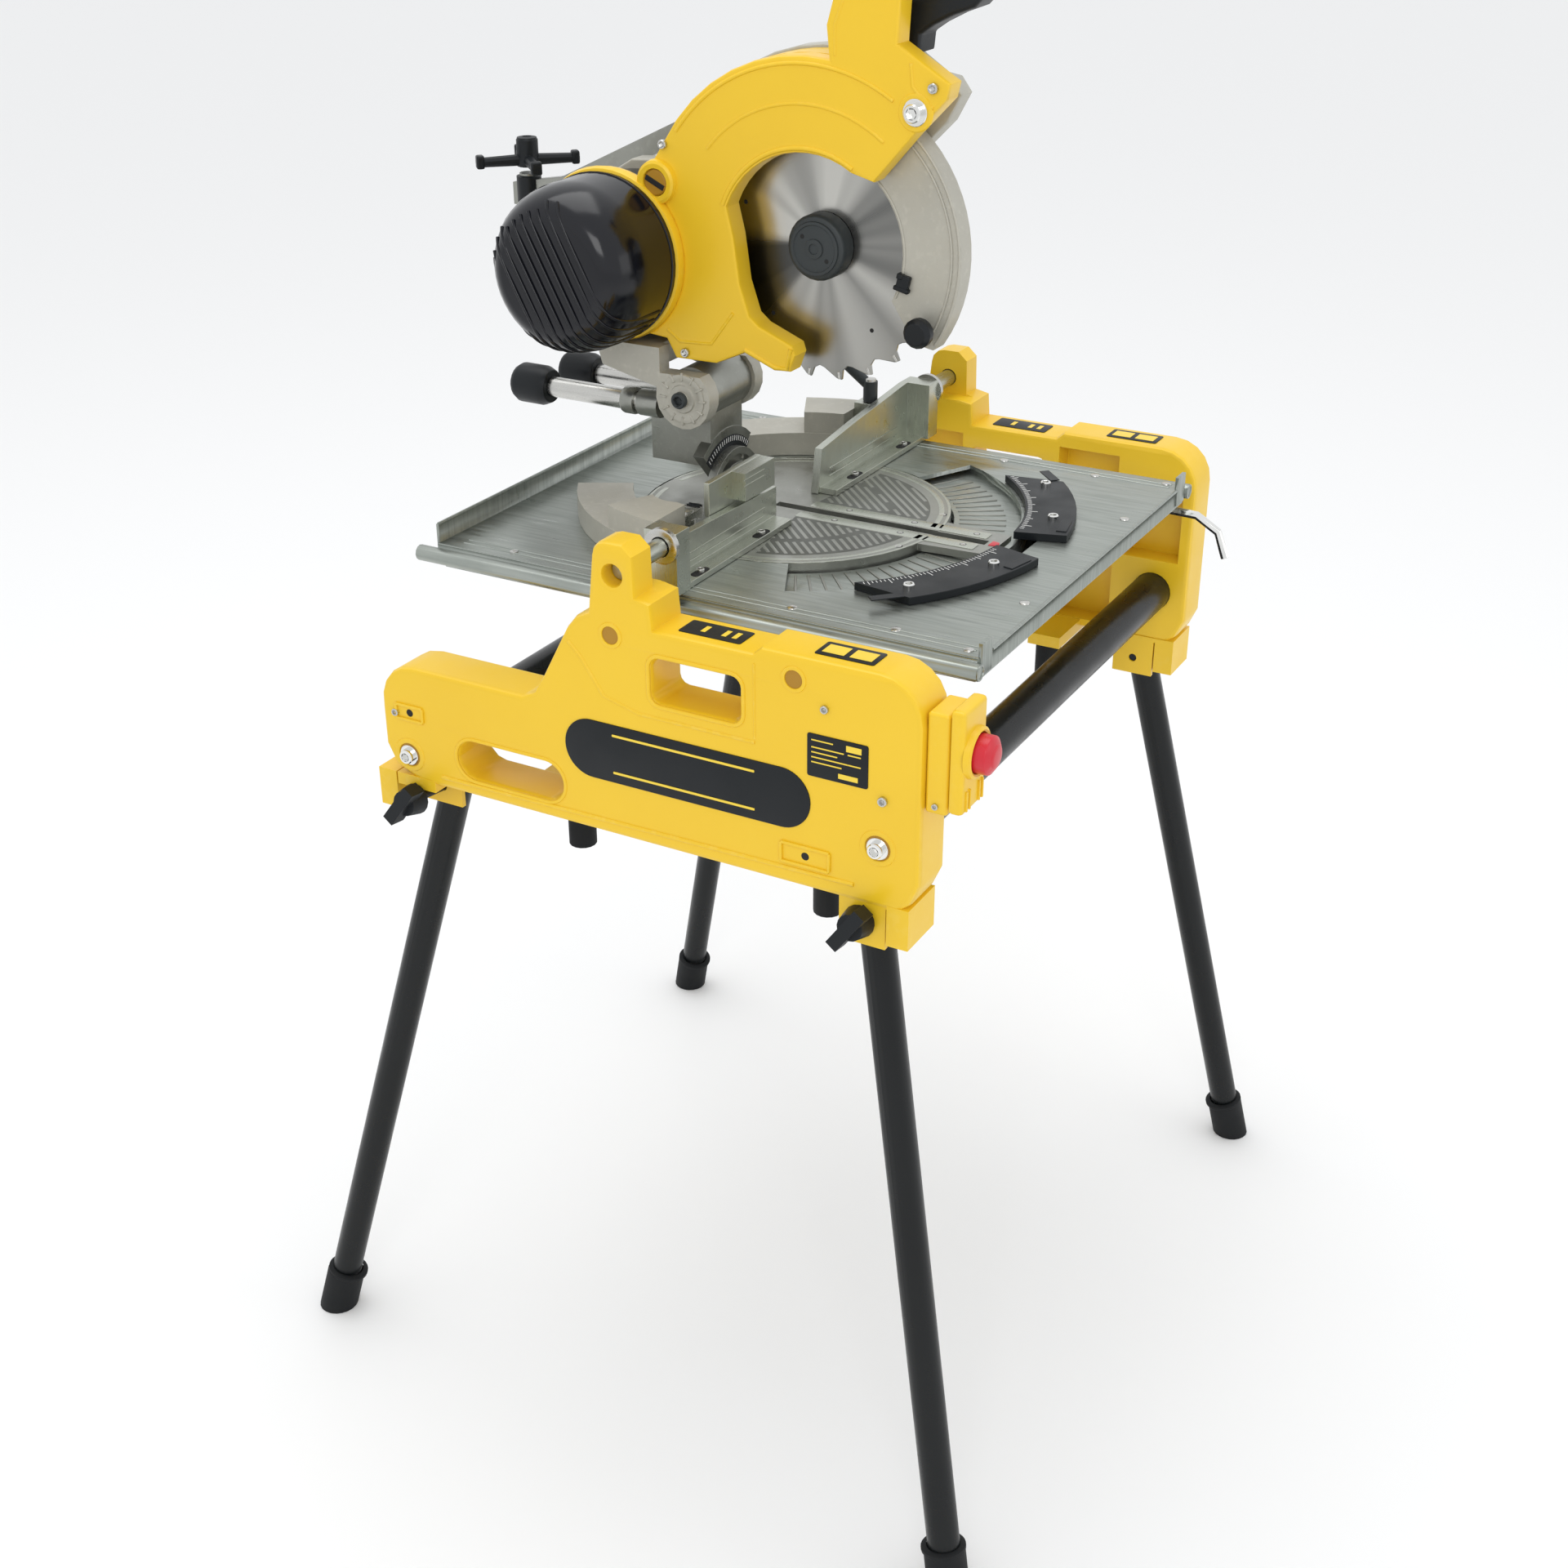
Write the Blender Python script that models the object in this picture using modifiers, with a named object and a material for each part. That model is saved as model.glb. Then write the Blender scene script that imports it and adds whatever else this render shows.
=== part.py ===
"""Flip-over mitre saw on a folding four-leg stand: frame, table, turntable, tilting arm, saw head and legs.

Lengths are in metres. X is the operator's right, the operator stands at -Y, and +Z is up. The numbers are
written with the blade's centre at y = 0; the empty saw_origin then slides everything along Y, so that the
floor point under the middle of the stand is the world origin.
"""
import math

import bmesh
import bpy
from mathutils import Matrix, Vector

# Driving dimensions
Y_SHIFT = -0.0225
GAP = 0.0003
BLADE_R = 0.125
BLADE_Z = 1.129
MOTOR_Y, MOTOR_Z = 0.207, 1.106
PIVOT_Y, PIVOT_Z = 0.125, 0.980
FLIP_Y, FLIP_Z = 0.017, 0.922
TABLE_Z = 0.872
TABLE_HALF_WIDTH = 0.2465
TABLE_FRONT, TABLE_REAR = -0.276, 0.277
TURN_Y, TURN_R = 0.030, 0.150
HOUSING_OUT, HOUSING_IN = 0.345, 0.295
HOUSING_BASE = 0.6745
LEVER = (0.190, 0.0475)
ADJUSTER = (0.0550, 0.367, 1.1565)
FLAP_HINGE_Y, FLAP_HINGE_Z = -0.2850, 0.8645
MITRE_KNOB = (-0.125, 0.080)
LEG_R = 0.0155
STRETCHER_R = 0.0205
FRONT_STRETCHER = (-0.236, 0.731)
REAR_STRETCHER = (0.250, 0.7005)
# Each leg pair: the pivot of the left leg and the middle of its foot on the floor, both at -X
FRONT_PIVOT, FRONT_TOE = Vector((-0.3185, -0.2215, 0.655)), Vector((-0.4075, -0.357, 0.0))
REAR_PIVOT, REAR_TOE = Vector((-0.2830, 0.2455, 0.648)), Vector((-0.3720, 0.4020, 0.0))

X, Y, Z = Vector((1, 0, 0)), Vector((0, 1, 0)), Vector((0, 0, 1))


def start_scene():
    """Empties the scene and makes the two collections and the empty that carries every piece."""
    for old in list(bpy.data.objects):
        bpy.data.objects.remove(old)
    for name in ("mitre_saw_on_stand", "cutters"):
        bpy.context.scene.collection.children.link(bpy.data.collections.new(name))
    origin = bpy.data.objects.new("saw_origin", None)
    bpy.data.collections["mitre_saw_on_stand"].objects.link(origin)
    origin.location = (0, Y_SHIFT, 0)
    return origin


def material(name, colour, roughness, metallic=0.0):
    """A Principled material of one plain finish."""
    made = bpy.data.materials.new(name)
    made.use_nodes = True
    shader = made.node_tree.nodes["Principled BSDF"]
    shader.inputs["Base Color"].default_value = (*colour, 1)
    shader.inputs["Roughness"].default_value = roughness
    shader.inputs["Metallic"].default_value = metallic
    return made


def add(name, mesh, paint=None):
    """Links a mesh as an object on the origin empty. Without paint it is a helper for a Boolean."""
    made = bpy.data.objects.new(name, mesh)
    home = "mitre_saw_on_stand" if paint else "cutters"
    bpy.data.collections[home].objects.link(made)
    made.parent = ORIGIN
    if paint:
        mesh.materials.append(paint)
    else:
        made.hide_render = True
        made.display_type = "WIRE"
    return made


def lathe_frame(start, direction):
    """A matrix whose local Z runs along direction from start."""
    return Matrix.Translation(start) @ direction.to_track_quat("Z", "Y").to_matrix().to_4x4()


def block(name, low, high, paint=None, round_by=0.0):
    """A box between two corners, with bevelled edges if asked."""
    low, high = Vector(low), Vector(high)
    shape = bmesh.new()
    size = high - low
    place = Matrix.Translation((low + high) / 2) @ Matrix.Diagonal((*size, 1))
    bmesh.ops.create_cube(shape, size=1, matrix=place)
    mesh = bpy.data.meshes.new(name)
    shape.to_mesh(mesh)
    shape.free()
    made = add(name, mesh, paint)
    if round_by:
        soften(made, round_by)
    return made


def soften(made, width, segments=2, angle=50):
    """Rounds the edges sharper than angle."""
    bevel = made.modifiers.new("rounding", "BEVEL")
    bevel.width = width
    bevel.segments = segments
    bevel.limit_method = "ANGLE"
    bevel.angle_limit = math.radians(angle)


def rod(name, start, end, radius, paint=None, sides=20, end_radius=None):
    """A round bar between two points, tapered if end_radius is given."""
    start, end = Vector(start), Vector(end)
    along = end - start
    shape = bmesh.new()
    bmesh.ops.create_cone(
        shape, cap_ends=True, segments=sides, radius1=radius,
        radius2=radius if end_radius is None else end_radius, depth=along.length,
        matrix=lathe_frame((start + end) / 2, along))
    mesh = bpy.data.meshes.new(name)
    shape.to_mesh(mesh)
    shape.free()
    mesh.shade_smooth()
    mesh.set_sharp_from_angle(angle=math.radians(40))
    return add(name, mesh, paint)


def turned(name, start, direction, profile, paint=None, sides=32):
    """A turned piece: profile holds (radius, distance along the axis) from its far end back to its near end."""
    mesh = bpy.data.meshes.new(name)
    shape = bmesh.new()
    points = [shape.verts.new((radius, 0, height)) for radius, height in profile]
    for one, other in zip(points, points[1:]):
        shape.edges.new((one, other))
    shape.to_mesh(mesh)
    shape.free()
    made = add(name, mesh, paint)
    made.matrix_local = lathe_frame(Vector(start), direction)
    screw = made.modifiers.new("turning", "SCREW")
    screw.steps = screw.render_steps = sides
    screw.use_merge_vertices = True
    screw.merge_threshold = 0.00005
    return made


def ring_points(centre, radius, start, end, count):
    """Points on an arc, angles in degrees."""
    angles = [math.radians(start + (end - start) * k / (count - 1)) for k in range(count)]
    return [(centre[0] + radius * math.cos(a), centre[1] + radius * math.sin(a)) for a in angles]


def circle(centre, radius, count=20):
    """A closed circle as outline points."""
    return ring_points(centre, radius, 0, 360 * (count - 1) / count, count)


def rounded(low, high, radius, count=4):
    """A rectangle with round corners as outline points."""
    corners = ((high[0] - radius, high[1] - radius, 0), (low[0] + radius, high[1] - radius, 90),
               (low[0] + radius, low[1] + radius, 180), (high[0] - radius, low[1] + radius, 270))
    return [p for x, y, a in corners for p in ring_points((x, y), radius, a, a + 90, count)]


def slab(name, axis, low, high, outlines, paint=None, edge=0.0):
    """Flat outlines filled and given a thickness from low to high along axis.

    With axis X the outline's points are (y, z), with axis Y they are (x, z), and with axis Z (x, y).
    """
    curve = bpy.data.curves.new(name, "CURVE")
    curve.dimensions = "2D"
    curve.fill_mode = "BOTH"
    curve.extrude = (high - low) / 2 - edge
    curve.bevel_depth = edge
    curve.bevel_resolution = 1
    curve.offset = -edge
    for outline in outlines:
        spline = curve.splines.new("POLY")
        spline.points.add(len(outline) - 1)
        for point, (across, up) in zip(spline.points, outline):
            point.co = (across, up, 0, 1)
        spline.use_cyclic_u = True
    middle = (high + low) / 2
    frames = {
        "X": Matrix(((0, 0, 1, middle), (1, 0, 0, 0), (0, 1, 0, 0), (0, 0, 0, 1))),
        "Y": Matrix(((1, 0, 0, 0), (0, 0, -1, middle), (0, 1, 0, 0), (0, 0, 0, 1))),
        "Z": Matrix.Translation((0, 0, middle)),
    }
    holder = bpy.data.objects.new(name + "_outline", curve)
    bpy.context.scene.collection.objects.link(holder)
    graph = bpy.context.evaluated_depsgraph_get()
    mesh = bpy.data.meshes.new_from_object(holder.evaluated_get(graph))
    bpy.data.objects.remove(holder)
    shape = bmesh.new()
    shape.from_mesh(mesh)
    bmesh.ops.remove_doubles(shape, verts=shape.verts, dist=0.00001)
    bmesh.ops.transform(shape, matrix=frames[axis], verts=shape.verts)
    bmesh.ops.recalc_face_normals(shape, faces=shape.faces)
    shape.to_mesh(mesh)
    shape.free()
    mesh.name = name
    return add(name, mesh, paint)


def boolean(target, helpers, kind):
    """Cuts the helpers from the target, or joins them to it."""
    for helper in helpers:
        step = target.modifiers.new(helper.name, "BOOLEAN")
        step.operation = kind
        step.object = helper
    return target


def cut(target, *helpers):
    return boolean(target, helpers, "DIFFERENCE")


def join(target, *helpers):
    return boolean(target, helpers, "UNION")


def flip(point):
    """The mirror image of a point in the plane x = 0."""
    return Vector((-point[0], point[1], point[2]))


def mirrored(made, name):
    """A mirrored copy in the plane x = 0, from the evaluated mesh."""
    graph = bpy.context.evaluated_depsgraph_get()
    graph.update()
    mesh = bpy.data.meshes.new_from_object(made.evaluated_get(graph))
    mesh.name = name
    shape = bmesh.new()
    shape.from_mesh(mesh)
    bmesh.ops.transform(shape, matrix=Matrix.Scale(-1, 4, X) @ made.matrix_local, verts=shape.verts)
    bmesh.ops.reverse_faces(shape, faces=shape.faces)
    shape.to_mesh(mesh)
    shape.free()
    paint = mesh.materials[0]
    mesh.materials.clear()
    return add(name, mesh, paint)


# The side housings

def housing_outline():
    """The outer edge of a side housing in (y, z), from the nose anticlockwise."""
    top, nose_top = 0.880, 0.790
    outline = [(0.240, HOUSING_BASE), (0.268, 0.686), (0.278, 0.706), (0.278, 0.745)]
    outline += ring_points((0.240, nose_top - 0.038), 0.038, 10, 90, 5)
    outline += [(0.118, nose_top), (0.104, nose_top + 0.007), (0.095, nose_top + 0.022)]
    outline += [(0.066, 0.866), (0.056, 0.878), (0.043, 0.884)]
    outline += ring_points((0.023, 0.937), 0.014, 0, 90, 4)
    outline += [(0.006, 0.951), (-0.004, 0.942), (-0.005, 0.906), (-0.020, 0.903), (-0.022, top)]
    outline += [(-0.118, top), (-0.126, top + 0.007), (-0.222, top + 0.007)]
    outline += ring_points((-0.234, 0.847), 0.040, 90, 180, 6)
    outline += [(-0.274, 0.703), (-0.266, 0.684), (-0.256, HOUSING_BASE)]
    return outline


def leg_lug(name, pivot, front, toward_nose):
    """The bracket under a housing that holds a leg: a pad, two cheeks and a stop in front of the open leg."""
    outer, inner = pivot.x - LEG_R - 0.0040, pivot.x + LEG_R + 0.0040
    cheek, low, pad_low = 0.0050, 0.634, pivot.z + 0.0185
    y_low, y_high = pivot.y - 0.022, pivot.y + 0.022
    pieces = [
        block(name + "_outer_cheek", (outer - cheek, y_low, low), (outer, y_high, HOUSING_BASE + 0.004)),
        block(name + "_inner_cheek", (inner, y_low, low), (inner + cheek, y_high, HOUSING_BASE + 0.004)),
        block(name + "_pad", (outer - cheek, y_low, pad_low), (inner + cheek, y_high, HOUSING_BASE + 0.004)),
    ]
    reach = 0.044 * front
    side = sorted((pivot.y + 0.0235 * front, pivot.y + reach))
    pieces.append(block(name + "_stop", (-HOUSING_OUT, side[0], 0.640),
                        (inner + cheek, side[1], HOUSING_BASE + 0.004)))
    pieces.append(block(name + "_bridge", (outer - cheek, min(side[0], y_low), pad_low),
                        (inner + cheek, max(side[1], y_high), HOUSING_BASE + 0.004)))
    if toward_nose:
        pieces.append(block(name + "_shelf", (-HOUSING_OUT, y_low, pad_low),
                            (outer, y_high, HOUSING_BASE + 0.004)))
    return pieces


def make_left_housing():
    """The left casing: a thick face with a carrying hole, a finger slot and pockets that leave ribs inside."""
    handle = rounded((-0.106, 0.815), (-0.020, 0.855), 0.008)
    slot = rounded((0.078, 0.693), (0.193, 0.730), 0.018)
    ear_bore = circle((FLIP_Y, FLIP_Z), 0.0092, 16)
    housing = slab("left_housing", "X", -HOUSING_OUT, -HOUSING_IN,
                   [housing_outline(), handle, slot, ear_bore], YELLOW, edge=0.005)
    skin, pocket_floor = 0.006, 0.024
    pockets = ((0.208, 0.262, 0.730, 0.778), (0.084, 0.198, 0.738, 0.778), (-0.012, 0.066, 0.684, 0.765),
               (-0.012, 0.056, 0.773, 0.870), (-0.115, -0.020, 0.684, 0.742), (-0.115, -0.020, 0.750, 0.806),
               (-0.190, -0.123, 0.684, 0.775), (-0.190, -0.123, 0.783, 0.872), (-0.262, -0.198, 0.766, 0.840))
    for number, (y_low, y_high, z_low, z_high) in enumerate(pockets):
        cut(housing, block(f"pocket_{number}", (-HOUSING_OUT + pocket_floor, y_low, z_low),
                           (-HOUSING_IN + 0.01, y_high, z_high)))
    for name, (y, z) in (("front_socket", FRONT_STRETCHER), ("rear_socket", REAR_STRETCHER)):
        cut(housing, rod(name, (-HOUSING_OUT + skin, y, z), (-HOUSING_IN + 0.01, y, z),
                         STRETCHER_R + GAP, sides=24))
    cut(housing, block("ear_relief", (-0.3150, -0.05, 0.9045), (-0.28, 0.08, 0.97)))
    join(housing, *leg_lug("front_lug", FRONT_PIVOT, -1, False))
    join(housing, *leg_lug("rear_lug", REAR_PIVOT, 1, True))
    for name, pivot, toe in (("front_bore", FRONT_PIVOT, FRONT_TOE), ("rear_bore", REAR_PIVOT, REAR_TOE)):
        pin = leg_axes(pivot, toe)[1]
        cut(housing, rod(name, pivot - pin * 0.07, pivot + pin * 0.05, 0.0044, sides=12))
    for name, y in (("front_pad", -0.141), ("rear_pad", 0.125)):
        join(housing, block(name, (-HOUSING_IN - 0.02, y - 0.018, HOUSING_BASE - 0.004),
                            (-0.236, y + 0.018, 0.683)))
    return housing


def make_stand():
    """Both housings, the tubes between them, the feet for use without the legs, and the switch."""
    left = make_left_housing()
    mirrored(left, "right_housing")
    reach = HOUSING_OUT - 0.006 - GAP
    for name, (y, z) in (("front_stretcher", FRONT_STRETCHER), ("rear_stretcher", REAR_STRETCHER)):
        rod(name, (-reach, y, z), (reach, y, z), STRETCHER_R, BLACK_PAINT, 24)
    for end, y in (("front", -0.141), ("rear", 0.125)):
        for side, sign in (("left", -1), ("right", 1)):
            top = HOUSING_BASE - 0.004 - GAP
            rod(f"bench_foot_{end}_{side}", (0.252 * sign, y, 0.596), (0.252 * sign, y, top), 0.0135, RUBBER, 16)
    make_switch()


def make_switch():
    """The switch box on the front of the left housing, its hinged flap and the red stop button in the flap."""
    face = -0.274 - GAP
    block("switch_box", (-0.340, face - 0.020, 0.772), (-0.300, face, 0.862), YELLOW, 0.003)
    flap = block("stop_flap", (-0.342, face - 0.034, 0.776), (-0.298, face - 0.0206, 0.868), YELLOW, 0.004)
    cut(flap, rod("button_bore", (-0.320, face - 0.05, 0.826), (-0.320, face - 0.0265, 0.826), 0.0175, sides=24))
    front = face - 0.052
    profile = ((0, 0.020), (0.0165, 0.020), (0.0165, 0.0035), (0.011, 0), (0, 0))
    turned("stop_button", (-0.320, front, 0.826), Y, profile, RED, 24)


# The legs

def leg_axes(pivot, toe):
    """The direction of an open leg, and the pin direction that folds it in its own plane."""
    down = (toe - pivot).normalized()
    pin = down.cross(Y).normalized()
    return down, pin if pin.x > 0 else -pin


def make_leg(name, pivot, toe, sign):
    """A leg tube with its rubber foot and the wing knob on its pivot, on the left or on the right."""
    turn = flip if sign > 0 else Vector
    down, pin = leg_axes(pivot, toe)
    foot_top = toe - down * 0.036
    sole = toe.copy()
    tube = rod("leg_" + name, turn(pivot - down * 0.0085), turn(foot_top - down * 0.002),
               LEG_R, BLACK_PAINT, 20)
    cut(tube, rod("pin_hole_" + name, turn(pivot - pin * 0.05), turn(pivot + pin * 0.05), 0.0047, sides=12))
    foot = rod("leg_foot_" + name, turn(foot_top - down * 0.012), turn(sole + down * 0.02), 0.0200, RUBBER, 20)
    below = block("floor_" + name, turn(sole) - Vector((0.06, 0.06, 0.06)), turn(sole) + Vector((0.06, 0.06, 0)))
    socket = rod("socket_" + name, turn(foot_top - down * 0.05), turn(foot_top - down * 0.0017),
                 LEG_R + GAP, sides=20)
    cut(foot, below, socket)
    make_knob("leg_knob_" + name, pivot, pin, turn)


def make_knob(name, pivot, pin, turn):
    """A black wing knob outside the housing, whose bolt runs through the leg."""
    face = pivot - pin * ((pivot.x + HOUSING_OUT + 0.0035) / pin.x)
    knob = rod(name, turn(face), turn(face - pin * 0.018), 0.0150, BLACK_PLASTIC, 16, 0.0120)
    frame = Matrix.Translation(turn(face - pin * 0.018)) @ turn(pin).to_track_quat("Z", "Y").to_matrix().to_4x4()
    shape = bmesh.new()
    lean = Matrix.Rotation(math.radians(35), 4, "Z")
    bmesh.ops.create_cube(shape, size=1, matrix=frame @ lean @ Matrix.Diagonal((0.012, 0.042, 0.018, 1)))
    mesh = bpy.data.meshes.new(name + "_wing")
    shape.to_mesh(mesh)
    shape.free()
    bolt_end = pivot + pin * (LEG_R + 0.0085)
    join(knob, add(name + "_wing", mesh),
         rod(name + "_bolt", turn(bolt_end), turn(face - pin * 0.004), 0.0040, sides=12))


def make_legs():
    for side, sign in (("left", -1), ("right", 1)):
        make_leg("front_" + side, FRONT_PIVOT, FRONT_TOE, sign)
        make_leg("rear_" + side, REAR_PIVOT, REAR_TOE, sign)


# The table

def make_table():
    """The sheet table with its rolled rails, the lower plate for bench use, the fence and the scales."""
    half, low = TABLE_HALF_WIDTH, TABLE_Z - 0.004
    edge = [(-half, TABLE_FRONT), (half, TABLE_FRONT), (half, TABLE_REAR), (-half, TABLE_REAR)]
    hole = circle((0, TURN_Y), TURN_R + 0.0015, 48)
    arm_gap = 0.036
    plate = slab("table_plate", "Z", low, TABLE_Z, [edge, hole], GALVANISED)
    cut(plate, block("arm_path", (-arm_gap, -0.212, low - 0.01), (arm_gap, -0.10, TABLE_Z + 0.01)),
        slab("arm_sweep", "Z", low - 0.01, TABLE_Z + 0.01, [arm_sector(0.218)]))
    skirt = TABLE_Z - 0.020
    join(plate, block("front_skirt", (-half + 0.001, TABLE_FRONT - 0.0008, skirt),
                      (half - 0.001, TABLE_FRONT + 0.002, TABLE_Z - 0.001)),
         block("rear_rim", (-half + 0.001, TABLE_REAR - 0.002, skirt),
               (half - 0.001, TABLE_REAR + 0.0008, TABLE_Z + 0.018)))
    for side in (-1, 1):
        inner, outer = sorted((side * (half - 0.002), side * (half + 0.0012)))
        tab_low, tab_high = sorted((side * (half - 0.022), side * (half - 0.0015)))
        join(plate, block(f"side_skirt_{side}", (inner, TABLE_FRONT + 0.001, skirt + 0.001),
                          (outer, TABLE_REAR - 0.001, TABLE_Z - 0.0012)),
             rod(f"rolled_rail_{side}", (side * (half + 0.0065), TABLE_FRONT - 0.004, TABLE_Z - 0.010),
                 (side * (half + 0.0065), TABLE_REAR + 0.016, TABLE_Z - 0.010), 0.0075, sides=12),
             block(f"corner_tab_{side}", (tab_low, TABLE_FRONT - 0.0022, skirt + 0.003),
                   (tab_high, TABLE_FRONT + 0.0012, TABLE_Z + 0.012)))
    make_fan_floor(plate)
    bench = [(-half + 0.004, TABLE_FRONT + 0.004), (half - 0.004, TABLE_FRONT + 0.004),
             (half - 0.004, TABLE_REAR - 0.004), (-half + 0.004, TABLE_REAR - 0.004)]
    saw_slot = rounded((-0.006, -0.160), (0.006, 0.060), 0.005)
    slab("bench_plate", "Z", TABLE_Z - 0.0245, TABLE_Z - 0.0205, [bench, saw_slot], GALVANISED)
    make_fence()
    make_scales()


def make_fan_floor(plate):
    """The sunk floor under the turning arm, hung from the plate by an outer wall."""
    def ring(inner, outer):
        turn = (0, TURN_Y)
        return ring_points(turn, outer, -157, -23, 28) + ring_points(turn, inner, -23, -157, 28)
    join(plate, slab("fan_floor", "Z", TABLE_Z - 0.0175, TABLE_Z - 0.0090, [ring(0.1535, 0.2255)]),
         slab("fan_wall", "Z", TABLE_Z - 0.0120, TABLE_Z - 0.0020, [ring(0.2195, 0.2250)]))


def arm_sector(radius):
    """The fan that the mitre arm sweeps, from the turntable's middle."""
    reach = 64
    return [(0, TURN_Y)] + ring_points((0, TURN_Y), radius, -90 - reach, -90 + reach, 24)


def make_fence():
    """The two fence beams on their pivot pins, the sliding left fence, the wings behind them and the lever."""
    foot = TABLE_Z + GAP
    for side, sign in (("left", -1), ("right", 1)):
        inner, outer = 0.042, 0.262
        outline = [(sign * inner, foot), (sign * outer, foot), (sign * outer, 0.934), (sign * 0.238, 0.934),
                   (sign * 0.222, 0.912), (sign * inner, 0.906)]
        if sign > 0:
            outline[-3:] = [(0.235, 0.934), (0.120, 0.924), (0.050, 0.916)]
        beam = slab("fence_" + side, "Y", 0.029, 0.037, [outline], CAST)
        ledge = [(sign * 0.046, 0.0), (sign * 0.258, 0.0)]
        low_x, high_x = sorted((ledge[0][0], ledge[1][0]))
        join(beam, block("fence_foot_" + side, (low_x, 0.010, foot), (high_x, 0.0375, 0.878)),
             rod("flip_pin_" + side, (sign * 0.256, FLIP_Y, FLIP_Z), (sign * 0.330, FLIP_Y, FLIP_Z), 0.0085, sides=16),
             block("pin_root_" + side, (min(sign * 0.240, sign * 0.262), 0.004, 0.876),
                   (max(sign * 0.240, sign * 0.262), 0.033, 0.934)))
        make_wing(side, sign)
    slider = block("fence_slider", (-0.150, 0.0378, 0.9075), (-0.055, 0.0440, 0.940), CAST, 0.001)
    join(slider, block("slider_face", (-0.110, 0.0230, 0.9130), (-0.0556, 0.0400, 0.9395)))
    lever = rod("fence_lever", (*LEVER, 0.9255), (*LEVER, 0.946), 0.0075, GREY_PLASTIC, 14)
    join(lever, rod("lever_arm", (*LEVER, 0.940), (LEVER[0], LEVER[1] + 0.036, 0.966), 0.0058, sides=12),
         rod("lever_tip", (LEVER[0], LEVER[1] + 0.033, 0.964), (LEVER[0], LEVER[1] + 0.043, 0.971), 0.0066, sides=12))
    join(bpy.data.objects["fence_right"],
         block("lever_boss", (LEVER[0] - 0.012, 0.036, 0.890), (LEVER[0] + 0.012, 0.060, 0.9248)))


def make_wing(side, sign):
    """The cast wing behind a fence half: a sector that rises towards the middle, clear of the turning arm."""
    inner, outer = TURN_R + 0.008, 0.212
    span = (6, 62)
    edge = ring_points((0, TURN_Y), outer, span[0], span[1], 9)
    back = ring_points((0, TURN_Y), inner, span[1], span[0], 9)
    points = [(sign * x, y) for x, y in edge + back]
    wing = slab("wing_" + side, "Z", TABLE_Z + GAP, TABLE_Z + 0.024, [points], CAST_LIGHT)
    tall = ring_points((0, TURN_Y), outer - 0.001, 7, 26, 5) + ring_points((0, TURN_Y), inner + 0.001, 26, 7, 5)
    crest = slab("wing_crest_" + side, "Z", TABLE_Z + 0.01, TABLE_Z + 0.046, [[(sign * x, y) for x, y in tall]])
    join(wing, crest)
    if sign < 0:
        cut(wing, rod("knob_recess", (*MITRE_KNOB, TABLE_Z - 0.01), (*MITRE_KNOB, TABLE_Z + 0.1), 0.030, sides=28))
    cut(wing, block("fence_clear_" + side, (-0.3, -0.1, TABLE_Z - 0.01), (0.3, 0.0605, 1.0)))


def make_scales():
    """The two black mitre scales that frame the end of the arm."""
    for side, sign in (("left", -1), ("right", 1)):
        inner = ring_points((0, TURN_Y), 0.221, -90 + 5, -90 + 48, 12)
        outer = ring_points((0, TURN_Y), 0.270, -90 + 40, -90 + 7, 9)
        points = [(sign * x, y) for x, y in inner + outer]
        slab("mitre_scale_" + side, "Z", TABLE_Z + GAP, TABLE_Z + 0.0075, [points], BLACK_PLASTIC)


# The turntable, the tilting arm and the head

def make_turntable():
    """The turntable disc with its arm and blade slot, the tilt seat behind and the mitre clamp knob."""
    disc = slab("turntable", "Z", TABLE_Z - 0.019, TABLE_Z, [circle((0, TURN_Y), TURN_R, 48)], CAST)
    join(disc, slab("mitre_arm", "Z", TABLE_Z - 0.0075, TABLE_Z - 0.0005,
                    [[(-0.034, -0.09), (-0.028, -0.185), (0.028, -0.185), (0.034, -0.09)]]))
    cut(disc, block("kerf", (-0.0055, -0.172, TABLE_Z - 0.1), (0.0055, 0.052, TABLE_Z + 0.1)))
    seat = slab("tilt_seat", "Y", 0.0975, 0.1065,
                [[(-0.045, TABLE_Z + GAP), (0.045, TABLE_Z + GAP), (0.045, 0.892)]
                 + ring_points((0, TABLE_Z), 0.049, 30, 150, 10) + [(-0.045, 0.892)]], CAST)
    cut(seat, slab("slot_cut", "Y", 0.08, 0.12, [arc_slot(0.038, 0.004, 45, 135)]))
    x, y = MITRE_KNOB
    knob = rod("mitre_knob", (x, y, TABLE_Z + GAP), (x, y, 0.892), 0.0100, STEEL, 16)
    grip = rounded((x - 0.024, y - 0.009), (x + 0.024, y + 0.009), 0.0085)
    join(knob, slab("mitre_knob_grip", "Z", 0.889, 0.899, [grip]))


def arc_slot(radius, half_width, start, end):
    """A curved slot in (x, z) about the tilt axis."""
    outer = ring_points((0, TABLE_Z), radius + half_width, start, end, 12)
    inner = ring_points((0, TABLE_Z), radius - half_width, end, start, 12)
    return outer + inner


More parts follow.
